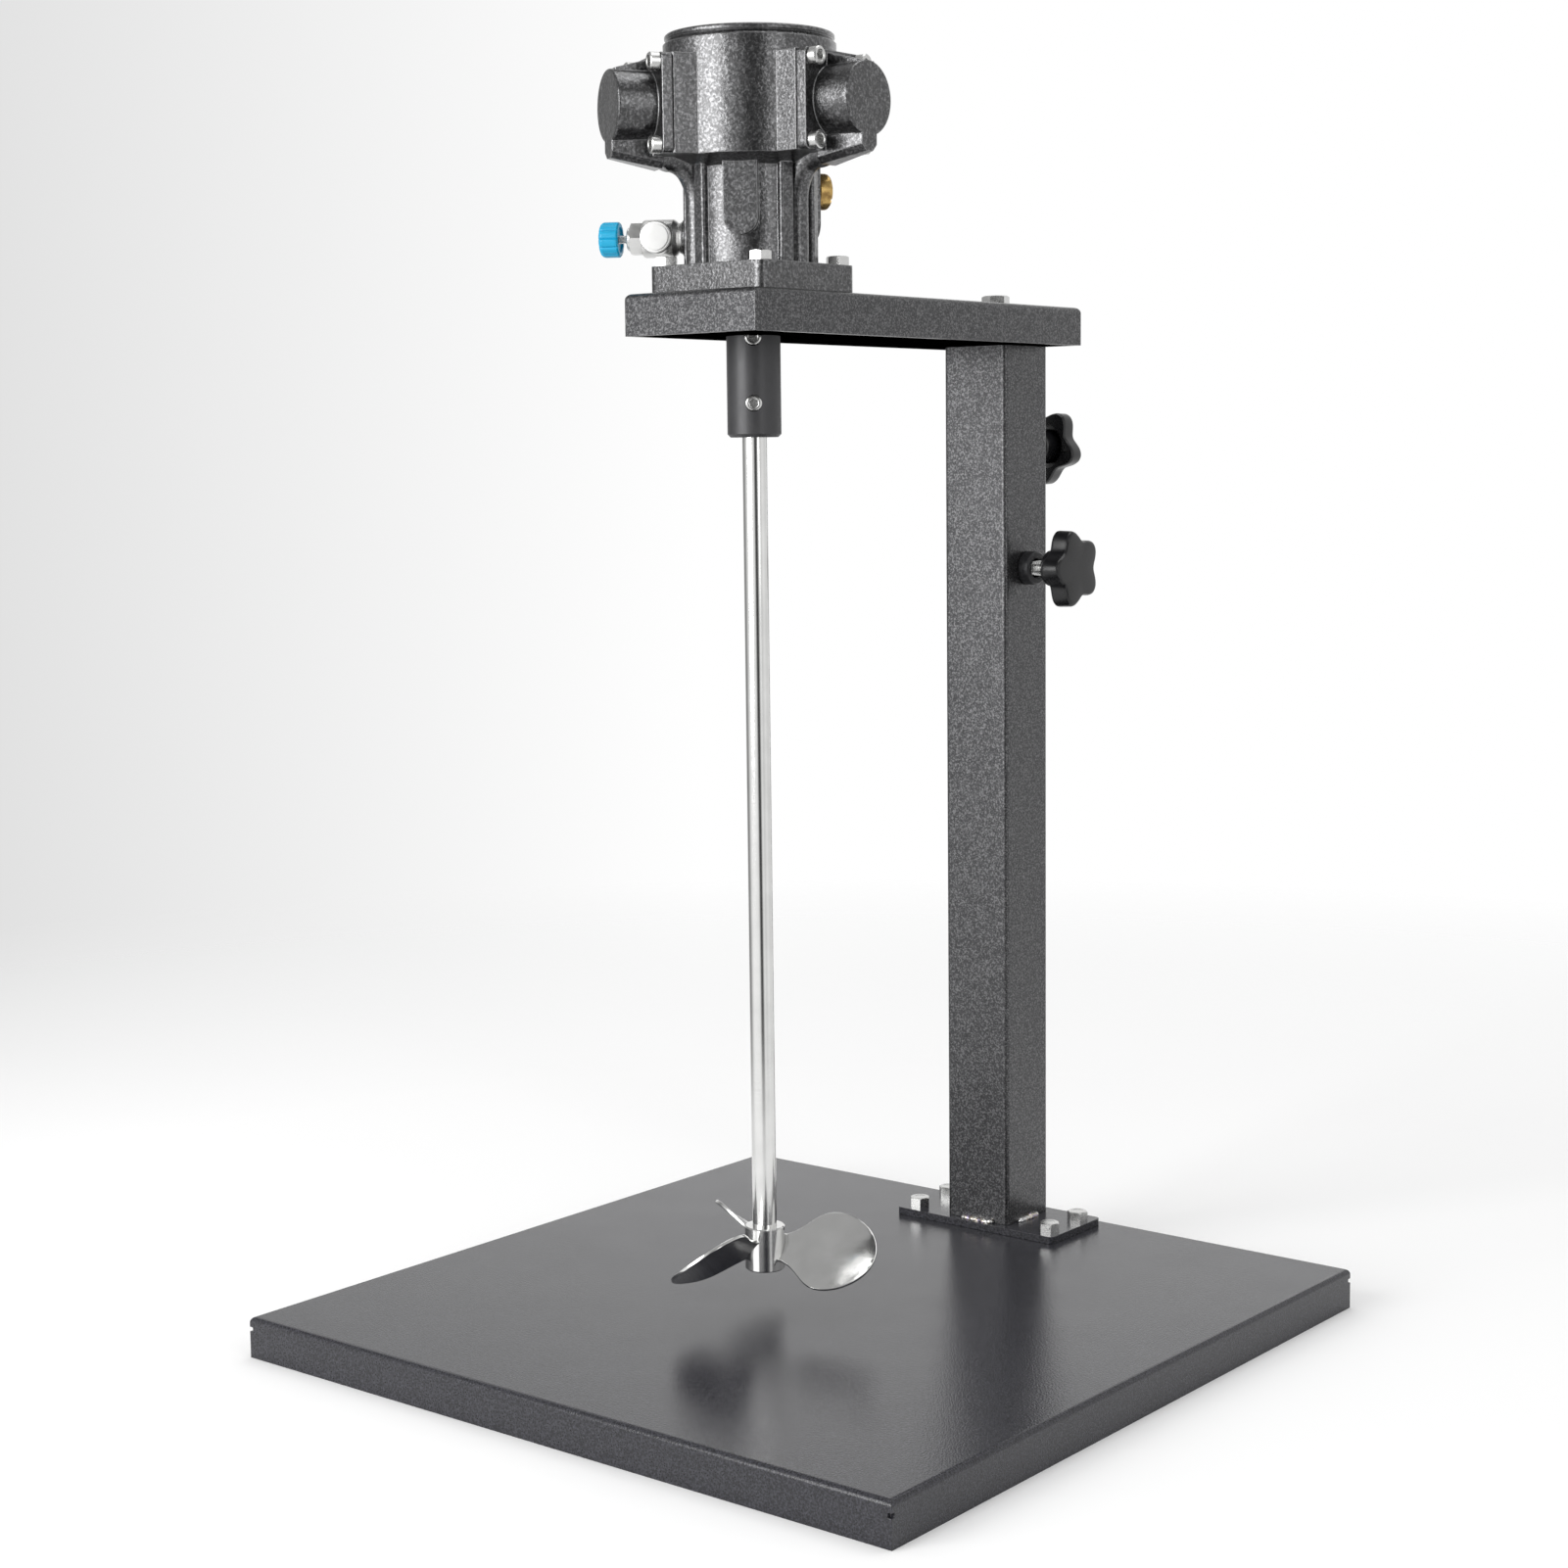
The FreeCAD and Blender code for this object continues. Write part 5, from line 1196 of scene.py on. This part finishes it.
class MIXER_OT_motor_screws(PieceOperator):
    """Model the caps' socket screws and the flange's bolts and nuts"""
    bl_idname = "paint_mixer.motor_screws"
    bl_label = "Motor screws"

    def make(self, context):
        pattern = socket_screw("screw", CAP_SCREW_HEAD, CAP_SCREW_TALL, CAP_SCREW_KEY,
                               CAP_SCREW_RADIUS, CAP_SCREW_LONG)
        screws = []
        axes = [heading(turn) for turn in CYLINDER_TURNS.values()]
        for number, points in enumerate(solids("cap_screws")):
            centre = Vector(points.mean(axis=0)) - Vector((MOTOR.x, MOTOR.y, 0))
            out = max(axes, key=centre.dot)
            place = far_end(points, out) - out * CAP_SCREW_TALL
            screws.append(lay(twin(pattern), place, out, turn=23 * number))
        bpy.data.objects.remove(pattern)
        dress(joined(screws, "cap_screws_plated"), finish(zinc_plate), "cap_screws")
        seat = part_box("flange_bolts")[1].z - FLANGE_BOLT_HEAD
        fit_bolts(context, "flange_bolts", seat, FLANGE_BOLT_TURNS)
        fit_nuts("flange_nuts", 13)


class MIXER_OT_air_valve(PieceOperator):
    """Model the needle valve with its port, gland, stem and fluted dial"""
    bl_idname = "paint_mixer.air_valve"
    bl_label = "Air valve"

    def make(self, context):
        self.axis = heading(VALVE_TURN)
        self.level = middle("valve_body").z
        self.body()
        self.stem_and_dial(context)

    def reach(self, node):
        """How far a node reaches from the motor's axis, least and most, along the valve."""
        along = (corners(node) - np.array(MOTOR)) @ np.array(self.axis)
        return float(along.min()), float(along.max())

    def put(self, piece, turn=0):
        """Lay a piece whose Z is the distance from the motor's axis."""
        return lay(piece, (MOTOR.x, MOTOR.y, self.level), self.axis, turn=turn)

    def stem_bore(self, low, high):
        """A rod that cuts the stem's bore."""
        return rod("bore", STEM_RADIUS + BORE_GAP, low, high, sides=24)

    def body(self):
        start, end = self.reach("valve_body")
        nipple = turned("valve_body_plated", [
            (7.5 * MM, start), (7.5 * MM, start + 1.2 * MM), (7.1 * MM, start + 1.5 * MM),
            (7.1 * MM, start + 2.4 * MM), (8.2 * MM, start + 3.4 * MM),
            (9 * MM, start + 4.6 * MM), (9 * MM, end - 1.3 * MM), (8.6 * MM, end - 0.4 * MM),
            (7.9 * MM, end)], sides=64)
        self.put(nipple)
        out = heading(PORT_TURN)
        mid = (start + 3.5 * MM + end) / 2
        foot = Vector((MOTOR.x, MOTOR.y, self.level)) + self.axis * mid
        port = turned("port", [(7.8 * MM, 0), (7.8 * MM, 11 * MM), (7.4 * MM, 11.7 * MM),
                               (6.8 * MM, 12 * MM)], sides=64)
        lay(port, foot, out)
        cut(nipple, port, "UNION")
        thread = [(5.9 * MM, 12.1 * MM), (5.4 * MM, 11.4 * MM)]
        for turn in range(7):
            level = 11.2 - 1.25 * turn
            thread += [(5.7 * MM, level * MM), (5.2 * MM, (level - 0.6) * MM)]
        bore = lay(turned("bore", thread, sides=48), foot, out)
        cut(nipple, bore)
        rounded(nipple, 0.35 * MM, 2, angle=55)
        dress(nipple, finish(nickel_plate), "valve_body")
        plug = turned("port_plug", [(5.0 * MM, 6 * MM), (5.0 * MM, 12 * MM), (6.1 * MM, 12 * MM),
                                    (6.3 * MM, 12.3 * MM), (6.2 * MM, 12.9 * MM),
                                    (5.5 * MM, 13.2 * MM), (2.5 * MM, 13.3 * MM)], sides=64)
        lay(plug, foot, out)
        dress(plug, finish(plug_plastic), body=NODES["valve_body"]["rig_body"])
        start, end = self.reach("valve_gland")
        gland = hexagon("valve_gland_plated", 14.5 * MM, start, end - 1.5 * MM)
        collar = turned("collar", [(5.6 * MM, start + 1 * MM), (5.6 * MM, end - 0.4 * MM),
                                   (5.2 * MM, end), (3.2 * MM, end), (2.3 * MM, end - 0.8 * MM)])
        cut(gland, collar, "UNION")
        cut(gland, self.stem_bore(start - MM, end + MM))
        dress(self.put(gland, turn=30), finish(nickel_plate), "valve_gland")

    def stem_and_dial(self, context):
        start, end = self.reach("valve_stem")
        stem = threaded("valve_stem_plated", STEM_RADIUS, 0.7 * MM, start, end, sides=16)
        dress(self.put(stem), finish(nickel_plate), "valve_stem")
        start, end = self.reach("valve_dial")
        count = context.scene.mixer_air.dial_flutes
        depth = 0.075

        def swell(angle):
            return 1 - depth * max(0.0, math.cos(count * angle)) ** 6
        dial = turned("valve_dial_moulded", [
            (7.7 * MM, start), (8.4 * MM, start + 0.7 * MM), (8.4 * MM, end - 2 * MM),
            (8.1 * MM, end - 1.1 * MM), (7.4 * MM, end - 0.35 * MM), (6.6 * MM, end),
            (2 * MM, end)], sides=count * 10, swell=swell)
        under = turned("under", [(6.2 * MM, start - 0.1 * MM), (6.0 * MM, start + 0.9 * MM)])
        cut(dial, under)
        cut(dial, self.stem_bore(start - MM, end - 3 * MM))
        dress(self.put(dial), finish(dial_plastic), "valve_dial")


class MIXER_OT_silencer(PieceOperator):
    """Model the brass silencer"""
    bl_idname = "paint_mixer.silencer"
    bl_label = "Silencer"

    def make(self, context):
        points = corners("silencer")
        out = heading(SILENCER_TURN)
        face, foot = far_end(points, out), far_end(points, -out)
        long = (face - foot).dot(out)
        piece = turned("silencer_turned", [
            (8.3 * MM, 0), (8.65 * MM, 0.35 * MM), (8.65 * MM, long - 1.9 * MM),
            (8.45 * MM, long - 1.0 * MM), (7.9 * MM, long - 0.35 * MM), (7.1 * MM, long),
            (2 * MM, long)], sides=64)
        clear_selection()
        bpy.ops.mesh.primitive_cube_add(size=1, location=(0, 0, long))
        slot = bpy.context.object
        slot.dimensions = (20 * MM, 1.6 * MM, 2.4 * MM)
        settle(slot)
        cut(piece, slot)
        rounded(piece, 0.2 * MM, 2, angle=50)
        lay(piece, foot, out, turn=35)
        dress(piece, finish(turned_brass), "silencer")


class MIXER_OT_coupling(PieceOperator):
    """Model the coupling and its set screws"""
    bl_idname = "paint_mixer.coupling"
    bl_label = "Coupling"

    def make(self, context):
        coupling = merged_copy("coupling", "coupling_turned")
        dress(coupling, finish(coupling_finish), "coupling")
        out = heading(SET_SCREW_TURN)
        screws = []
        for points in solids("coupling_screws"):
            face, foot = far_end(points, out), far_end(points, -out)
            radius = (points[:, 2].max() - points[:, 2].min()) / 2
            long = (face - foot).dot(out)
            screw = turned("set_screw", [(radius - 0.5 * MM, 0), (radius, 0.5 * MM),
                                         (radius, long - 0.7 * MM),
                                         (radius - 0.9 * MM, long)], sides=40)
            lead = turned("lead", [(radius * 0.5, long - 0.3 * MM),
                                   (radius * 0.68, long + 0.05 * MM)])
            cut(screw, lead)
            cut(screw, rod("socket", radius * 0.6, long * 0.4, long + MM, sides=6))
            screws.append(lay(screw, foot, out, turn=10))
        dress(joined(screws, "coupling_screws_plated"), finish(zinc_plate), "coupling_screws")


class MIXER_OT_stirrer(PieceOperator):
    """Model the shaft, the hub and the blades"""
    bl_idname = "paint_mixer.stirrer"
    bl_label = "Stirrer"

    def make(self, context):
        low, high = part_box("stirrer_shaft")
        shaft = turned("stirrer_shaft_polished",
                       bar_rings(SHAFT_RADIUS, low.z, high.z, 0.6 * MM), sides=96)
        dress(lay(shaft, (MOTOR.x, MOTOR.y, 0)), finish(polished_steel), "stirrer_shaft")
        low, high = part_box("propeller_hub")
        bore = SHAFT_RADIUS + BORE_GAP
        hub = turned("propeller_hub_polished", [
            (bore, low.z), *bar_rings(10 * MM, low.z, high.z, 0.6 * MM), (bore, high.z),
            (bore, low.z)], sides=96, hollow=True)
        dress(lay(hub, (MOTOR.x, MOTOR.y, 0)), finish(polished_steel), "propeller_hub")
        edge = context.scene.mixer_stirrer.blade_edge
        for node in ("blade_1", "blade_2", "blade_3"):
            refine(node, node + "_polished", polished_steel, edge, angle=45, flatten=0)


class MIXER_OT_inner(PieceOperator):
    """Finish the pieces inside the motor"""
    bl_idname = "paint_mixer.inner"
    bl_label = "Inner pieces"

    def make(self, context):
        coat(ground_steel, "liner_right", "liner_front", "liner_rear", "lower_bearing",
             "upper_bearing", "top_bearing", "crankshaft", "crank_roller", "rotary_valve",
             "piston_right", "piston_front", "piston_rear")
        coat(seal_rubber, "shaft_seal")
        coat(zinc_plate, *[node for node in NODES if node.endswith("jam_nut")])


OPERATORS = (MIXER_OT_studio, MIXER_OT_base, MIXER_OT_mast, MIXER_OT_foot_bolts,
             MIXER_OT_clamps, MIXER_OT_arm, MIXER_OT_motor, MIXER_OT_motor_screws,
             MIXER_OT_air_valve, MIXER_OT_silencer, MIXER_OT_coupling, MIXER_OT_stirrer,
             MIXER_OT_inner)


class MIXER_PT_panel(bpy.types.Panel):
    """Lists the mixer's pieces and settings"""
    bl_idname = "MIXER_PT_panel"
    bl_label = "Paint mixer"
    bl_space_type = "VIEW_3D"
    bl_region_type = "UI"
    bl_category = "Paint mixer"

    def draw(self, context):
        for operator in OPERATORS:
            self.layout.operator(operator.bl_idname)
        for name, group in SETTINGS.items():
            box = self.layout.box()
            for key in group.__annotations__:
                box.prop(getattr(context.scene, name), key)


def register():
    for name, group in SETTINGS.items():
        bpy.utils.register_class(group)
        setattr(bpy.types.Scene, name, PointerProperty(type=group))
    for operator in (*OPERATORS, MIXER_PT_panel):
        bpy.utils.register_class(operator)


def unregister():
    for operator in reversed((*OPERATORS, MIXER_PT_panel)):
        bpy.utils.unregister_class(operator)
    for name, group in SETTINGS.items():
        delattr(bpy.types.Scene, name)
        bpy.utils.unregister_class(group)


def main():
    register()
    bpy.context.scene.view_settings.view_transform = "Standard"
    for operator in OPERATORS:
        group, name = operator.bl_idname.split(".")
        getattr(getattr(bpy.ops, group), name)()
    clear_selection()


if __name__ == "__main__":
    main()
